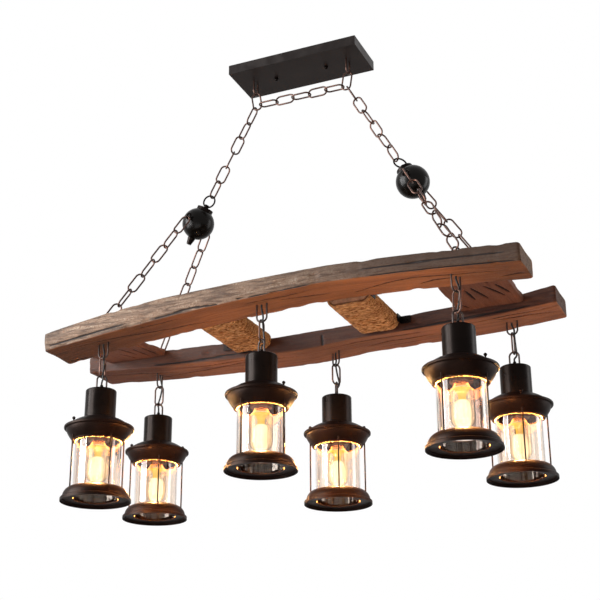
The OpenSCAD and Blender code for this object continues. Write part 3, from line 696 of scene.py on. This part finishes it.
# The corner that each point of a section comes after, and its share of the way to the next
CORNER_AND_SHARE = [
    (corner, k / count) for corner, count in enumerate(SIDE_STEPS.values()) for k in range(count)
]
CORNER_COLUMNS = np.cumsum([0] + list(SIDE_STEPS.values())[:-1])
SECTION_STEP = mm(3.4)  # between sections along a timber
END_SECTIONS = np.array([0, mm(0.8), mm(2.2), mm(4.5)])  # closer ones, from each end
INNER_START = mm(8)  # from each end to the first evenly spaced section
END_ROUNDING = mm(3.0)  # how far the outermost sections are drawn in
CHIP_REACH = mm(9)  # how far from a corner chips break out
DARK_EDGE = 1.5  # width of a crack with the painted shade along its edges, against the crack's own
CAP_SHARES = (0.93, 0.84, 0.72, 0.58, 0.42, 0.24, 0.08)  # rings of end grain against the rim
CAP_HOLLOW = mm(1.6)  # how far the end grain is worn in
# Wear: repeats a metre along the grain and across it
SWAY = (7, 18)
RIDGES = (14, 190)
TOOL_MARKS = (170, 24)
CHIPS = (34, 40)


def outline_of(node, along):
    """Top and underside of a CAD beam or board along one axis, as (places, heights) each."""
    mesh = frame["nodes"][node].data
    across = 1 - along
    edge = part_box(node)[0][across] + mm(0.1)  # only the corners on the near side
    found = {True: set(), False: set()}
    for polygon in mesh.polygons:
        if abs(polygon.normal.z) > 0.5:
            for k in polygon.vertices:
                corner = mesh.vertices[k].co
                if corner[across] < edge:
                    place = (round(corner[along], 6), round(corner.z, 6))
                    found[polygon.normal.z > 0].add(place)
    return [np.array(sorted(found[up])).T for up in (True, False)]


def crack_profile(points, route, width):
    """How far inside a crack each point lies, from 0 to 1. The crack tapers to its ends."""
    inside = np.zeros(len(points))
    route = np.asarray(route, float)
    lengths = np.linalg.norm(np.diff(route, axis=0), axis=1)
    start, total = 0.0, lengths.sum()
    for a, b, length in zip(route, route[1:], lengths):
        share = np.clip(((points - a) @ (b - a)) / length**2, 0, 1)
        gap = np.linalg.norm(points - (a + share[:, None] * (b - a)), axis=1)
        taper = np.sqrt(np.sin(np.pi * np.clip((start + share * length) / total, 0.02, 0.98)))
        inside = np.maximum(inside, 1 - (gap / (width / 2 * taper)) ** 2)
        start += length
    return np.clip(inside, 0, 1)


def soften(values, passes):
    """Averages each value with its neighbours round the section."""
    for _ in range(passes):
        values = (np.roll(values, 1, 1) + 2 * values + np.roll(values, -1, 1)) / 4
    return values


def section_places(low, high):
    """Places of a timber's sections along it, closer together at its ends."""
    length = high - low
    inner = np.linspace(INNER_START, length - INNER_START, int(length / SECTION_STEP))
    return np.concatenate([END_SECTIONS, inner, length - END_SECTIONS[::-1]]) + low


def plain_sections(node, places, along, chamfer):
    """Sections of the CAD node's own form, each as (across, height) points round it."""
    (top_at, top_z), (low_at, low_z) = outline_of(node, along)
    low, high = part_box(node)
    near, far = low[1 - along], high[1 - along]
    sections = np.zeros((len(places), len(CORNER_AND_SHARE), 2))
    for row, place in enumerate(places):
        z1 = np.interp(place, top_at, top_z)
        z0 = np.interp(place, low_at, low_z)
        middle = z0 + (z1 - z0) * 0.5
        bottom = near + mm(chamfer)
        corners = np.array([(near, z1), (near, middle), (bottom, z0), (far, z0), (far, z1)])
        for column, (corner, share) in enumerate(CORNER_AND_SHARE):
            a, b = corners[corner], corners[(corner + 1) % len(corners)]
            sections[row, column] = a + (b - a) * share
    return soften(sections, 3)


def round_ends(sections, places):
    """Draws a timber's outermost sections in a little."""
    centre = sections.mean(1, keepdims=True)
    from_end = np.minimum(places - places[0], places[-1] - places)
    drawn = END_ROUNDING * np.clip(1 - from_end / END_SECTIONS[-1], 0, 1) ** 2
    reach = sections - centre
    size = np.linalg.norm(reach, axis=2, keepdims=True)
    return centre + reach * (1 - drawn[:, None, None] / size)


def outward_of(points, along):
    """The direction out of the timber at each of its points."""
    outward = np.cross(
        np.roll(points, -1, 1) - np.roll(points, 1, 1), [1.0 - along, 1.0 * along, 0.0]
    )
    outward /= np.linalg.norm(outward, axis=2, keepdims=True)
    return outward * np.sign((outward * (points - points.mean(1, keepdims=True))).sum())


def layer_of(profiles, places):
    """The profiles' value at each point of a timber, softened from side to side."""
    layer = np.zeros((len(places), len(SIDE_OF)))
    for side in SIDE_STEPS:
        layer[:, SIDE_OF == side] = np.array([profiles[side](p) for p in places])[:, None]
    return soften(layer[:, :, None], 2)[:, :, 0]


def crack_layers(points, along, cracks):
    """How far inside a crack each point lies, from 0 to 1, and how deep the crack is there."""
    crack = np.zeros(points.shape[:2])
    depth = np.zeros(points.shape[:2])
    for side, route, width, deep in cracks:
        columns = np.isin(SIDE_OF, ("face", "lower_face") if side == "face" else (side,))
        other = 1 - along if side in ("under", "top") else 2
        flat = points[:, columns][:, :, [along, other]].reshape(-1, 2)
        inside = crack_profile(flat, [(mm(a), mm(b)) for a, b in route], mm(width * DARK_EDGE))
        inside = inside.reshape(len(points), -1)
        crack[:, columns] = np.maximum(crack[:, columns], inside)
        depth[:, columns] = np.maximum(depth[:, columns], inside * mm(deep))
    return crack, depth


def grain_noise(point, grain, shift=0):
    """Noise at (along, across, height), drawn out along the grain."""
    along, across = grain
    return noise.noise((point[0] * along + shift, point[1] * across, point[2] * across))


def wear_layer(points, along, skin, chips, seed):
    """How much wood is worn away at each point, in millimetres. Each term only takes away."""
    middle = points[len(points) // 2]
    gap = np.array([min(np.linalg.norm(p - middle[c]) for c in CORNER_COLUMNS) for p in middle])
    edge = np.clip(1 - gap / CHIP_REACH, 0, 1)
    wear = np.zeros(points.shape[:2])
    for row, column in np.ndindex(*wear.shape):
        p = points[row, column]
        place = (p[along] + seed, p[1 - along], p[2])
        grey = skin[row, column]
        chip = grain_noise(place, CHIPS, shift=9)
        wear[row, column] = (
            1.2 * (0.5 + 0.5 * grain_noise(place, SWAY))
            + 0.7 * (0.5 + 0.5 * grain_noise(place, RIDGES)) * (1 - 0.4 * grey)
            + 0.5 * grey * (0.5 + 0.5 * grain_noise(place, TOOL_MARKS))
            + chips * edge[column] * max(0.0, chip - 0.08) * 3
        )
    return wear


def end_grain(rim, along, inward, seed):
    """Ragged rings that shrink to the middle of a timber's end, and the cracks in them: their
    deepest hollows, which are darkened with painted shade.
    """
    middle = rim.mean(0)
    rings, cracks = [], []
    for share in CAP_SHARES:
        ring = middle + (rim - middle) * share
        upright = [noise.noise((p[1 - along] * 160, p[2] * 60 + seed, inward)) for p in ring]
        level = [noise.noise((p[1 - along] * 30, p[2] * 200, seed)) for p in ring]
        hollow = 0.5 + 0.5 * np.array(upright) + 0.4 * np.array(level)
        ring[:, along] += inward * CAP_HOLLOW * np.clip(hollow, 0, 2)
        rings.append(ring)
        cracks.append(np.clip(hollow - 0.85, 0, 1))
    return np.array(rings), np.array(cracks)


def worn_plank(
    node, material, along, weather, stain, cracks, chamfer=0.0, chips=2.0, seed=0.0
):
    """Timber between the CAD node's own faces, worn back from them by noise, chips and cracks.

    weather and the darkening profile give each side's value from its place along the timber;
    the darkening is painted shade as well as staining. A crack is
    (side, [(along, across), ...], width, depth), in millimetres.
    """
    low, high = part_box(node)
    places = section_places(low[along], high[along])
    sections = round_ends(plain_sections(node, places, along, chamfer), places)
    points = np.zeros((*sections.shape[:2], 3))
    points[:, :, along] = places[:, None]
    points[:, :, 1 - along] = sections[:, :, 0]
    points[:, :, 2] = sections[:, :, 1]
    skin, tint = layer_of(weather, places), layer_of(stain, places)
    crack, depth = crack_layers(points, along, cracks)
    wear = wear_layer(points, along, skin, chips, seed)
    points = points - outward_of(points, along) * (mm(1) * wear + depth)[:, :, None]

    first_rings, first_cracks = end_grain(points[0], along, 1, seed)
    last_rings, last_cracks = end_grain(points[-1], along, -1, seed)
    points = np.concatenate([first_rings[::-1], points, last_rings])
    crack = np.concatenate([first_cracks[::-1], crack, last_cracks])
    cap = np.ones(first_cracks.shape)
    skin = np.concatenate([cap * weather["end"], skin, cap * weather["end"]])
    tint = np.concatenate([cap * stain["end"], tint, cap * stain["end"]])
    rings, count = points.shape[:2]
    faces = ring_faces(rings, count)
    faces += [tuple(range(count))[::-1], tuple(range((rings - 1) * count, rings * count))]
    piece = add_mesh("worn_" + node, points.reshape(-1, 3), faces, material)
    for label, amount in (("weathering", skin), ("stain", tint), ("crack", crack)):
        layer = piece.data.attributes.new(label, "FLOAT", "POINT")
        layer.data.foreach_set("value", amount.astype(np.float32).ravel())
    dress(piece, "frame", (node,))


def ramp(*stops):
    """A value that runs between (place in millimetres, value) stops along a timber."""
    places, values = zip(*stops)
    return lambda place: float(np.interp(place, [mm(p) for p in places], values))


def steady(value):
    return lambda place: value


def by_side(face, lower_face, under, back, top, end):
    """One value or profile for each side of a timber; end takes a plain value."""
    profiles = {
        name: value if callable(value) else steady(value)
        for name, value in zip(SIDE_STEPS, (face, lower_face, under, back, top))
    }
    profiles["end"] = end
    return profiles


worn_plank(
    "front_beam",
    front_wood,
    ALONG_X,
    weather=by_side(
        face=ramp((0, 1.0), (320, 0.8)),
        lower_face=ramp((0, 1.0), (320, 0.95)),
        under=0.0,
        back=0.15,
        top=0.85,
        end=0.75,
    ),
    # Painted shade: the face and its lower facet darken mostly towards the right, where they lie
    # in shade; the underside darkens towards both ends
    stain=by_side(
        face=ramp((-500, 0.42), (-420, 0.08), (-200, 0.25), (20, 0.45), (140, 0.75), (280, 1.0)),
        lower_face=ramp(
            (-500, 0.42), (-420, 0.08), (-200, 0.25), (60, 0.5), (180, 0.8), (300, 0.95)
        ),
        under=ramp((-500, 0.95), (-400, 0.8), (-280, 0.6), (-140, 0.0), (360, 0.0), (460, 0.65)),
        back=0.1,
        top=0.2,
        end=0.8,
    ),
    cracks=[
        ("under", [(-497, -104), (-470, -99), (-440, -96)], 3.2, 4.0),
        (
            "under",
            [(-430, -159), (-335, -147), (-287, -134), (-237, -124), (-184, -120), (-136, -108)],
            3.2,
            4.0,
        ),
        ("under", [(12, -142), (45, -136), (84, -130), (116, -123)], 3.6, 4.5),
        (
            "under",
            [
                (160, -114),
                (192, -125),
                (232, -139),
                (269, -147),
                (303, -149),
                (361, -145),
                (473, -142),
            ],
            3.6,
            4.5,
        ),
        ("under", [(293, -118), (323, -128), (357, -131)], 3.6, 4.0),
        ("under", [(448, -113), (484, -121), (499, -117)], 5.0, 6.0),
        ("under", [(-300, -166), (-240, -160), (-190, -163)], 2.4, 2.5),
        ("under", [(-60, -160), (30, -154), (90, -158)], 2.2, 2.5),
        # Painted shade: a dark line in the crease between the two facets of the face, and along
        # its ragged lower edge
        ("face", [(170, -601), (207, -602.5), (341, -607), (420, -612), (499, -618)], 2.4, 1.6),
        ("face", [(-497, -652), (-430, -644), (-347, -635), (-283, -630)], 2.6, 1.8),
        ("face", [(-250, -629), (-220, -628), (-163, -620), (-94, -622)], 2.8, 2.0),
        ("face", [(-60, -617), (9, -617), (74, -614), (140, -614)], 2.2, 1.6),
        ("face", [(190, -616), (237, -617), (379, -625), (499, -633)], 2.8, 2.0),
    ],
    chamfer=6,
    chips=2.4,
    seed=3.0,
)
worn_plank(
    "back_beam",
    back_wood,
    ALONG_X,
    weather=by_side(face=0.0, lower_face=0.0, under=0.05, back=0.6, top=0.8, end=0.8),
    # Painted shade: the face, across the gap from the front beam, is dark all along; the underside
    # darkens towards the left end
    stain=by_side(
        face=ramp((-500, 0.85), (-240, 0.85), (-150, 0.9), (200, 1.0)),
        lower_face=ramp((-500, 0.85), (-240, 0.85), (-150, 0.9), (200, 1.0)),
        under=ramp((-560, 0.8), (-460, 0.6), (-360, 0.25), (-260, 0.0)),
        back=0.3,
        top=0.2,
        end=0.8,
    ),
    cracks=[
        ("under", [(-560, 118), (-526, 122), (-448, 127), (-364, 136)], 3.0, 3.5),
        ("under", [(-319, 117), (-266, 114), (-185, 102)], 2.6, 3.0),
        ("under", [(-422, 161), (-298, 143), (-196, 118), (-111, 119), (-65, 125)], 2.8, 3.5),
        ("under", [(90, 143), (140, 132), (184, 136), (245, 133)], 3.0, 4.0),
        ("under", [(326, 107), (398, 105), (459, 114), (500, 110)], 3.4, 4.5),
        ("under", [(360, 114), (428, 125), (488, 139)], 3.2, 4.0),
        ("under", [(40, 112), (120, 108), (220, 112)], 2.6, 3.0),
        ("face", [(-420, -622), (-300, -626), (-150, -624)], 2.6, 2.5),
        ("face", [(180, -628), (320, -622), (470, -616)], 2.6, 2.5),
        ("face", [(6, -612), (7, -626), (4, -640)], 3.4, 2.0),
    ],
    chamfer=3,
    chips=2.0,
    seed=11.0,
)
board_weather = by_side(face=0.3, lower_face=0.3, under=0.12, back=0.3, top=0.6, end=0.3)
worn_plank(
    "end_board_left",
    board_wood,
    ALONG_Y,
    weather=board_weather,
    stain=by_side(face=0.2, lower_face=0.2, under=0.1, back=0.2, top=0.2, end=0.2),
    cracks=[
        ("under", [(-17, -372), (65, -376)], 3.0, 3.0),
        ("under", [(-18, -394), (60, -398)], 2.8, 3.0),
        ("under", [(-40, -418), (44, -412)], 2.8, 3.0),
        ("under", [(10, -440), (70, -432)], 2.6, 2.6),
    ],
    chips=1.2,
    seed=21.0,
)
worn_plank(
    "end_board_right",
    board_wood,
    ALONG_Y,
    weather=board_weather,
    stain=by_side(face=0.4, lower_face=0.4, under=0.2, back=0.4, top=0.3, end=0.3),
    cracks=[
        ("under", [(-23, 350), (39, 355)], 4.0, 3.5),
        ("under", [(-31, 363), (38, 380)], 4.4, 4.0),
        ("under", [(-31, 389), (36, 414)], 4.4, 4.0),
        ("under", [(-31, 412), (27, 428)], 4.4, 4.0),
        ("under", [(-60, 396), (-42, 402)], 3.2, 3.0),
        ("under", [(52, 320), (74, 332)], 3.2, 3.0),
    ],
    chips=1.2,
    seed=33.0,
)


# Twine: three laid strands that go round each bar

TWINE_TURNS = 24
TWINE_R = mm(3.2)
STRANDS = 3
STRAND_R = mm(1.5)  # also from the twine's middle to a strand's
LAY = mm(150)  # length of one twist of the strands
POINTS_A_TURN = 84
LEVEL_TURNS = 0.7  # turns that lie level against each beam
STRAY = mm(3.0)  # how far a turn strays along the bar
SETTLING = 8  # it grows over the first eighth of the winding and dies over the last


def round_bar(run, flat, edge_r):
    """Place and outward direction in a bar's section: along the underside, round the right edge,
    back along the top and round the left edge."""
    bend = math.pi * edge_r
    if run < 2 * flat:
        return -flat + run, -edge_r, (0, -1)
    if 2 * flat + bend <= run < 4 * flat + bend:
        return flat - (run - 2 * flat - bend), edge_r, (0, 1)
    if run < 2 * flat + bend:
        centre, angle = flat, (run - 2 * flat) / edge_r - math.pi / 2
    else:
        centre, angle = -flat, (run - 4 * flat - bend) / edge_r + math.pi / 2
    out = (math.cos(angle), math.sin(angle))
    return centre + edge_r * out[0], edge_r * out[1], out


def wind_twine(which, seed):
    node = "twine_" + which
    low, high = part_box(node)
    middle = (low + high) / 2
    edge_r = (high.z - low.z) / 2 - TWINE_R
    flat = (high.x - low.x) / 2 - TWINE_R - edge_r
    start, end = low.y + TWINE_R, high.y - TWINE_R
    turn_length = 4 * flat + math.tau * edge_r
    routes = [[] for _ in range(STRANDS)]
    for k in range(TWINE_TURNS * POINTS_A_TURN + 1):
        turns = k / POINTS_A_TURN
        x, z, out = round_bar((turns % 1) * turn_length, flat, edge_r)
        share = (turns - LEVEL_TURNS) / (TWINE_TURNS - 2 * LEVEL_TURNS)
        share = min(max(share, 0.0), 1.0)
        calm = min(1.0, SETTLING * share, SETTLING * (1 - share))
        wave = STRAY * calm * noise.noise((x * 34 + seed, z * 34, turns * 0.55))
        y = start + (end - start) * share + wave
        y = min(max(y, start), end)
        twist = math.tau * turns * turn_length / LAY
        for s, route in enumerate(routes):
            phase = twist + math.tau * s / STRANDS
            lift, shift = STRAND_R * math.cos(phase), STRAND_R * math.sin(phase)
            route.append((middle.x + x + lift * out[0], y + shift, middle.z + z + lift * out[1]))
    points, faces = join([tube(route, STRAND_R, sides=5) for route in routes])
    piece = add_mesh("laid_" + node, points, faces, twine_material)
    dress(piece, "frame", (node,))


for which, seed in zip(BAR_NAMES, (2.0, 7.0)):
    wind_twine(which, seed)


# Hangers: a link on each staple, and the lead beside it

LINK_POINTS = 32
BEND_START = mm(8)  # from a bend of the link to where the lead starts to give


def smooth_route(corners, steps):
    """Points on a smooth curve through the corners."""
    corners = [Vector(c) for c in corners]
    route = []
    for k in range(len(corners) - 1):
        before = corners[max(k - 1, 0)]
        a, b = corners[k], corners[k + 1]
        after = corners[min(k + 2, len(corners) - 1)]
        for s in range(steps):
            t = s / steps
            route.append(
                0.5
                * (
                    2 * a
                    + (b - before) * t
                    + (2 * before - 5 * a + 4 * b - after) * t**2
                    + (3 * a - before - 3 * b + after) * t**3
                )
            )
    return route + [corners[-1]]


def link_route(top, bottom, turn):
    """Centre line of an upright link between the middles of its bends, at a turn of its staple."""
    route = []
    for k in range(LINK_POINTS):
        angle = math.tau * (k + 0.5) / LINK_POINTS
        middle = top if angle < math.pi else bottom
        bend = Vector((0, LINK_R * math.cos(angle), LINK_R * math.sin(angle)))
        route.append(turn @ bend + middle)
    return route


def hang(i):
    """The link on a lantern's staple, and its lead, drawn past the two hinges in an upper and a
    lower piece, which are baked in place and ride on no body."""
    body = f"hanger_{i}"  # its CAD node has the same name
    low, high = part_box(body)
    pivot = next(joint for joint in frame["joints"] if joint["name"] == f"{body}_swing")
    hook = Vector((*pivot["pos_m"][:2], high.z + LEAD_END))
    loop_top = low.z - hook.z + LOOP_H - GLAND_H - LEAD_END
    bearing = loop_top + HANGER_PITCH
    turn = Matrix.Rotation(math.radians(STAPLE_TURNS[i - 1]), 3, "Z")

    def at(x, y, z):
        return hook + turn @ Vector((x, y, z))

    reach = LINK_PLAY / 2 + WIRE_R - LINK_R
    ends = (at(0, 0, bearing + reach), at(0, 0, loop_top - reach))
    points, faces = tube(link_route(*ends, turn), WIRE_R, sides=12, closed=True)
    link = add_mesh(f"link_{i}", points, faces, chain_metal)
    dress(link, body, (body,))

    off = WIRE_R + LEAD_R + LEAD_GAP
    near, steep = 0.7 * off, 4 * LEAD_R
    bend, low_bend = bearing - WIRE_R, loop_top + WIRE_R
    end = loop_top - LOOP_H + GLAND_H + LEAD_END
    side = -1 if LOOP_TURNS[i - 1] > 0 else 1
    middle = (bend + low_bend) / 2
    route = smooth_route(
        [
            at(0, mm(-1), -LEAD_END),
            at(0, mm(-1), -steep),
            at(off, -near, bend + 5 * LEAD_R),
            at(off, -off, bend),
            at(off, mm(-1), middle),
            at(off, side * off, low_bend),
            at(off, side * near, low_bend - steep),
            at(0, 0, (low_bend - steep + end) / 2 - mm(1)),
            at(0, 0, end),
        ],
        steps=6,
    )
    half = len(route) // 2
    parts = (
        ("upper", route[: half + 1], ("frame", body), (0, bend - BEND_START)),
        ("lower", route[half:], (body, f"lantern_{i}"), (low_bend + BEND_START, end)),
    )
    for label, stretch, bodies, (start, stop) in parts:
        lead = add_mesh(f"lead_{label}_{i}", *tube(stretch, LEAD_R, sides=10), lead_rubber)
        dress(lead, None, (body,))
        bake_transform(lead)


for i in range(1, LANTERN_COUNT + 1):
    hang(i)


# Bulbs: heights are above the bulb's tip

BULB_R = mm(22.5)
BULB_LEN = mm(84)
BULB_WALL = mm(0.9)
SHOULDER = mm(20)  # height over which the glass draws in to its neck
NECK_R = mm(12)
CAP_R = mm(13)
CAP_H = mm(24)
THREAD_STEPS = 24  # four to a turn of the thread
SHIELD_Z = mm(73)
SHIELD_R = mm(16.5)
RING_R = mm(18.2)
RING_TUBE_R = mm(0.5)
# Glass stem under the shield, as (radius, depth under the shield) in millimetres
STEM = ((0, 27), (5, 26), (7, 20), (7, 12), (9.6, 5), (15, 1.6), (0, 1))
HAIRPINS = 8
FILAMENT_R = mm(0.35)
UPPER_SUPPORTS = (mm(5.5), BULB_LEN - mm(30))  # radius and height of their ring
LOWER_SUPPORTS = (mm(8.5), mm(12))
CORE_R = mm(15.5)
HALO_R = mm(20)
GLOW_MIDDLE = mm(27)
GLOW_HALF = mm(25)  # half the glow's height
LAMP_Z = mm(65)
SPILL_Z = BULB_LEN - mm(1)  # at the pan's mouth
# Lampholder and gland of a cup, to tell their faces from the cup's
HOLDER_R = mm(21.6)
HOLDER_TOP = mm(42)  # above the bulb's cap
GLAND_R = mm(6)


def lantern_axis(i):
    """The tip of a lantern's bulb, and the height of its cap's top."""
    low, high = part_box(f"bulb_{i}")
    return Vector(((low.x + high.x) / 2, (low.y + high.y) / 2, low.z)), high.z


def raised(point, height):
    return point + Vector((0, 0, height))


def bulb_outline(radius, neck_r):
    """Tubular bulb from its tip up to its cap, as (radius, height)."""
    tip = [
        (radius * math.sin(t), radius * 0.8 * (1 - math.cos(t)))
        for t in np.linspace(0, math.pi / 2, 12)
    ]
    neck = [
        (
            neck_r + (radius - neck_r) * (1 + math.cos(t)) / 2,
            BULB_LEN - SHOULDER + SHOULDER * t / math.pi,
        )
        for t in np.linspace(0, math.pi, 12)
    ]
    return tip + neck


def add_glow(name, points, faces, material, body):
    """A lit piece inside a bulb. It casts no shadow, so that the lamp's light gets out."""
    piece = add_mesh(name, points, faces, material)
    piece.visible_shadow = False
    dress(piece, body)


def add_lamp(name, kind, at, power, colour, size, body):
    """A lamp that rides on a body and isn't seen itself."""
    data = bpy.data.lights.new(name, kind)
    data.energy = power
    data.color = colour
    if kind == "AREA":
        data.shape = "DISK"
        data.size = size
    else:
        data.shadow_soft_size = size
    lamp = bpy.data.objects.new(name, data)
    lamp.location = at
    lamp.visible_camera = False
    lamp.visible_transmission = False
    bpy.context.scene.collection.objects.link(lamp)
    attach(lamp, body)


def add_envelope(i, tip, body):
    outer = turned(bulb_outline(BULB_R, NECK_R), steps=40, centre=tip)
    inner_outline = bulb_outline(BULB_R - BULB_WALL, NECK_R - BULB_WALL)[::-1]
    inner = turned(inner_outline, steps=40, centre=raised(tip, BULB_WALL))
    envelope = add_mesh(f"bulb_glass_{i}", *join([outer, inner]), bulb_glass)
    dress(envelope, body, (f"bulb_{i}",))


def add_bulb_cap(i, tip, body):
    """Screw cap with its thread and contact."""
    thread = [(0.0, BULB_LEN - mm(2)), (NECK_R, BULB_LEN - mm(2))]
    for k in range(THREAD_STEPS + 1):
        ripple = mm(0.6) * math.cos(k * math.pi / 2)
        thread.append((CAP_R - mm(0.8) + ripple, BULB_LEN + CAP_H * 0.85 * k / THREAD_STEPS))
    thread += [(CAP_R * 0.55, BULB_LEN + CAP_H * 0.97), (0.0, BULB_LEN + CAP_H)]
    cap = add_mesh(f"bulb_cap_{i}", *turned(thread, steps=32, centre=tip), holder_metal)
    dress(cap, body)


def add_stem(i, tip, body):
    """Glass stem, lit by the filament's legs, with a heat shield over it that is lit from
    below, and the lit edge of the envelope round that."""
    stem = [(mm(radius), SHIELD_Z - mm(depth)) for radius, depth in STEM]
    add_glow(f"bulb_stem_{i}", *turned(stem, steps=24, centre=tip), stem_glow, body)
    shield = [
        (0.0, SHIELD_Z),
        (SHIELD_R, SHIELD_Z),
        (SHIELD_R, SHIELD_Z + mm(0.8)),
        (0.0, SHIELD_Z + mm(1.4)),
    ]
    plate = add_mesh(f"bulb_shield_{i}", *turned(shield, steps=32, centre=tip), shield_glow)
    dress(plate, body)
    # Painted highlight: a glowing ring, which is no part of the bulb, draws the lit edge of the
    # envelope
    ring = [
        tip + Vector((RING_R * math.cos(turn), RING_R * math.sin(turn), SHIELD_Z))
        for turn in np.linspace(0, math.tau, 48, endpoint=False)
    ]
    add_glow(f"bulb_edge_highlight_{i}", *tube(ring, RING_TUBE_R, sides=6, closed=True), ring_glow, body)


def add_filament(i, tip, body):
    """Hairpins between an upper and a lower ring of supports."""
    route = []
    for k in range(HAIRPINS * 2 + 1):
        turn = math.tau * k / (HAIRPINS * 2)
        radius, height = UPPER_SUPPORTS if k % 2 == 0 else LOWER_SUPPORTS
        route.append(tip + Vector((radius * math.cos(turn), radius * math.sin(turn), height)))
    filament = tube(smooth_route(route, steps=5), FILAMENT_R, sides=5)
    add_glow(f"bulb_filament_{i}", *filament, filament_glow, body)


def add_glow_shells(i, tip, body):
    """Glow round the filament."""
    for label, radius, material in (("core", CORE_R, core_glow), ("halo", HALO_R, halo_glow)):
        shell = [
            (radius * math.sin(t) ** 0.5, GLOW_MIDDLE - GLOW_HALF * math.cos(t))
            for t in np.linspace(0, math.pi, 24)
        ]
        shell[0] = (0.0, shell[0][1])
        shell[-1] = (0.0, shell[-1][1])
        add_glow(f"bulb_{label}_{i}", *turned(shell, steps=28, centre=tip), material, body)


def add_lamps(i, tip, body):
    """The bulb's own light, and the light that the pan throws back down, which the base ring
    mirrors."""
    at = raised(tip, LAMP_Z)
    add_lamp(
        f"lamp_{i}", "POINT", at, power=11, colour=(1.0, 0.5, 0.17), size=mm(5), body=body
    )
    mouth = raised(tip, SPILL_Z)
    add_lamp(
        f"spill_{i}", "AREA", mouth, power=3.5, colour=(1.0, 0.34, 0.07), size=mm(100), body=body
    )


def light_bulb(i):
    tip, _ = lantern_axis(i)
    for add in (add_envelope, add_bulb_cap, add_stem, add_filament, add_glow_shells, add_lamps):
        add(i, tip, f"lantern_{i}")


def finish_lantern(i):
    """Materials of a lantern's CAD nodes. The cup's lampholder and loop take their own."""
    cup = finish_node(f"cup_{i}", black_metal)
    cup.data.materials.append(holder_metal)
    cup.data.materials.append(staple_metal)
    axis, cap_top = lantern_axis(i)
    cup_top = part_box(f"cup_{i}")[1].z - 2 * WIRE_R - LOOP_H
    for polygon in cup.data.polygons:
        centre = polygon.center
        from_axis = math.hypot(centre.x - axis.x, centre.y - axis.y)
        on_gland = from_axis <= GLAND_R and centre.z <= cup_top + GLAND_H
        if centre.z < cap_top + HOLDER_TOP and from_axis < HOLDER_R:
            polygon.material_index = 1
        elif centre.z > cup_top + mm(0.1) and not on_gland:
            polygon.material_index = 2
    finish_node(f"pan_{i}", hood_metal)
    finish_node(f"cage_{i}", hood_metal)
    finish_node(f"glass_{i}", lantern_glass)


for i in range(1, LANTERN_COUNT + 1):
    finish_lantern(i)
    light_bulb(i)


# Stage: camera, lights, backdrop and floor

FLOOR_Z = -2.6  # an ordinary room's floor, well under the camera
FLOOR_HALF = 6.0
MIDDLE = (0, 0, -0.6)  # of the light, where most panels point
LEFT_FRONT = (-1.95, -1.6, -0.3)


def add_camera():
    data = bpy.data.cameras.new("Camera")
    data.sensor_width = SENSOR
    data.lens = FOCAL_PX / PHOTO_PX * SENSOR
    camera = bpy.data.objects.new("Camera", data)
    pitch, roll, heading = (math.radians(a) for a in CAMERA_TURN)
    turn = Matrix.Rotation(heading, 4, "Z") @ Matrix.Rotation(pitch, 4, "X")
    turn = turn @ Matrix.Rotation(roll, 4, "Z")
    camera.matrix_world = Matrix.Translation(CAMERA_AT) @ turn
    bpy.context.scene.collection.objects.link(camera)
    bpy.context.scene.camera = camera


def add_panel(name, at, towards, width, height, power, gloss_only=False):
    data = bpy.data.lights.new(name, "AREA")
    data.shape = "RECTANGLE"
    data.size, data.size_y = width, height
    data.energy = power
    panel = bpy.data.objects.new(name, data)
    panel.location = at
    panel.rotation_euler = (Vector(towards) - Vector(at)).to_track_quat("-Z", "Y").to_euler()
    panel.visible_camera = False
    panel.visible_diffuse = not gloss_only
    bpy.context.scene.collection.objects.link(panel)


def seen_directly(tree):
    """1 for what the camera, a mirror or a pane shows, and 0 for the light on the object."""
    path = add_node(tree, "ShaderNodeLightPath").outputs
    seen = math_node(tree, "MAXIMUM", path["Is Camera Ray"], path["Is Glossy Ray"])
    return math_node(tree, "MAXIMUM", seen, path["Is Transmission Ray"])


def light_world():
    world = bpy.data.worlds.new("Studio")
    bpy.context.scene.world = world
    world.use_nodes = True
    tree = world.node_tree
    soft = tree.nodes["Background"]
    soft.inputs["Color"].default_value = (1.0, 0.98, 0.96, 1)
    soft.inputs["Strength"].default_value = 0.42
    white = add_node(tree, "ShaderNodeBackground", {"Color": (1, 1, 1, 1), "Strength": 1.0})
    mixed = add_node(
        tree,
        "ShaderNodeMixShader",
        {0: seen_directly(tree), 1: soft.outputs[0], 2: white.outputs[0]},
    )
    wire(tree, mixed.outputs[0], tree.nodes["World Output"].inputs["Surface"])


def lay_floor():
    """Pale floor. It shows from above only, so that a view from below isn't blocked."""
    material, tree, shader = new_material("Pale floor")
    speck = noise_at(tree, object_coordinates(tree), (3, 3, 3))
    pale = mix_colour(tree, speck, (0.86, 0.86, 0.86, 1), (0.9, 0.9, 0.9, 1))
    wire(tree, pale, shader.inputs["Base Color"])
    shader.inputs["Roughness"].default_value = 0.9
    shader.inputs["Specular IOR Level"].default_value = 0.1
    open_below = add_node(tree, "ShaderNodeBsdfTransparent")
    below = add_node(tree, "ShaderNodeNewGeometry").outputs["Backfacing"]
    show_through(tree, below, shader, open_below)
    corners = [
        (x * FLOOR_HALF, y * FLOOR_HALF, FLOOR_Z) for x, y in ((-1, -1), (1, -1), (1, 1), (-1, 1))
    ]
    floor = add_mesh("floor", corners, [(0, 1, 2, 3)], material, smooth=False)


add_camera()
light_world()
lay_floor()
add_panel("Left softbox", LEFT_FRONT, MIDDLE, width=1.0, height=2.2, power=60)
add_panel(
    "Highlight card", LEFT_FRONT, MIDDLE, width=1.4, height=2.2, power=420, gloss_only=True
)
add_panel("Low front fill", (0.6, -1.9, -2.2), MIDDLE, width=2.2, height=1.8, power=32)
add_panel("Right edge light", (1.9, 1.0, -0.4), (0, 0, -0.5), width=0.7, height=1.8, power=22)
bpy.context.scene.view_settings.view_transform = "Standard"
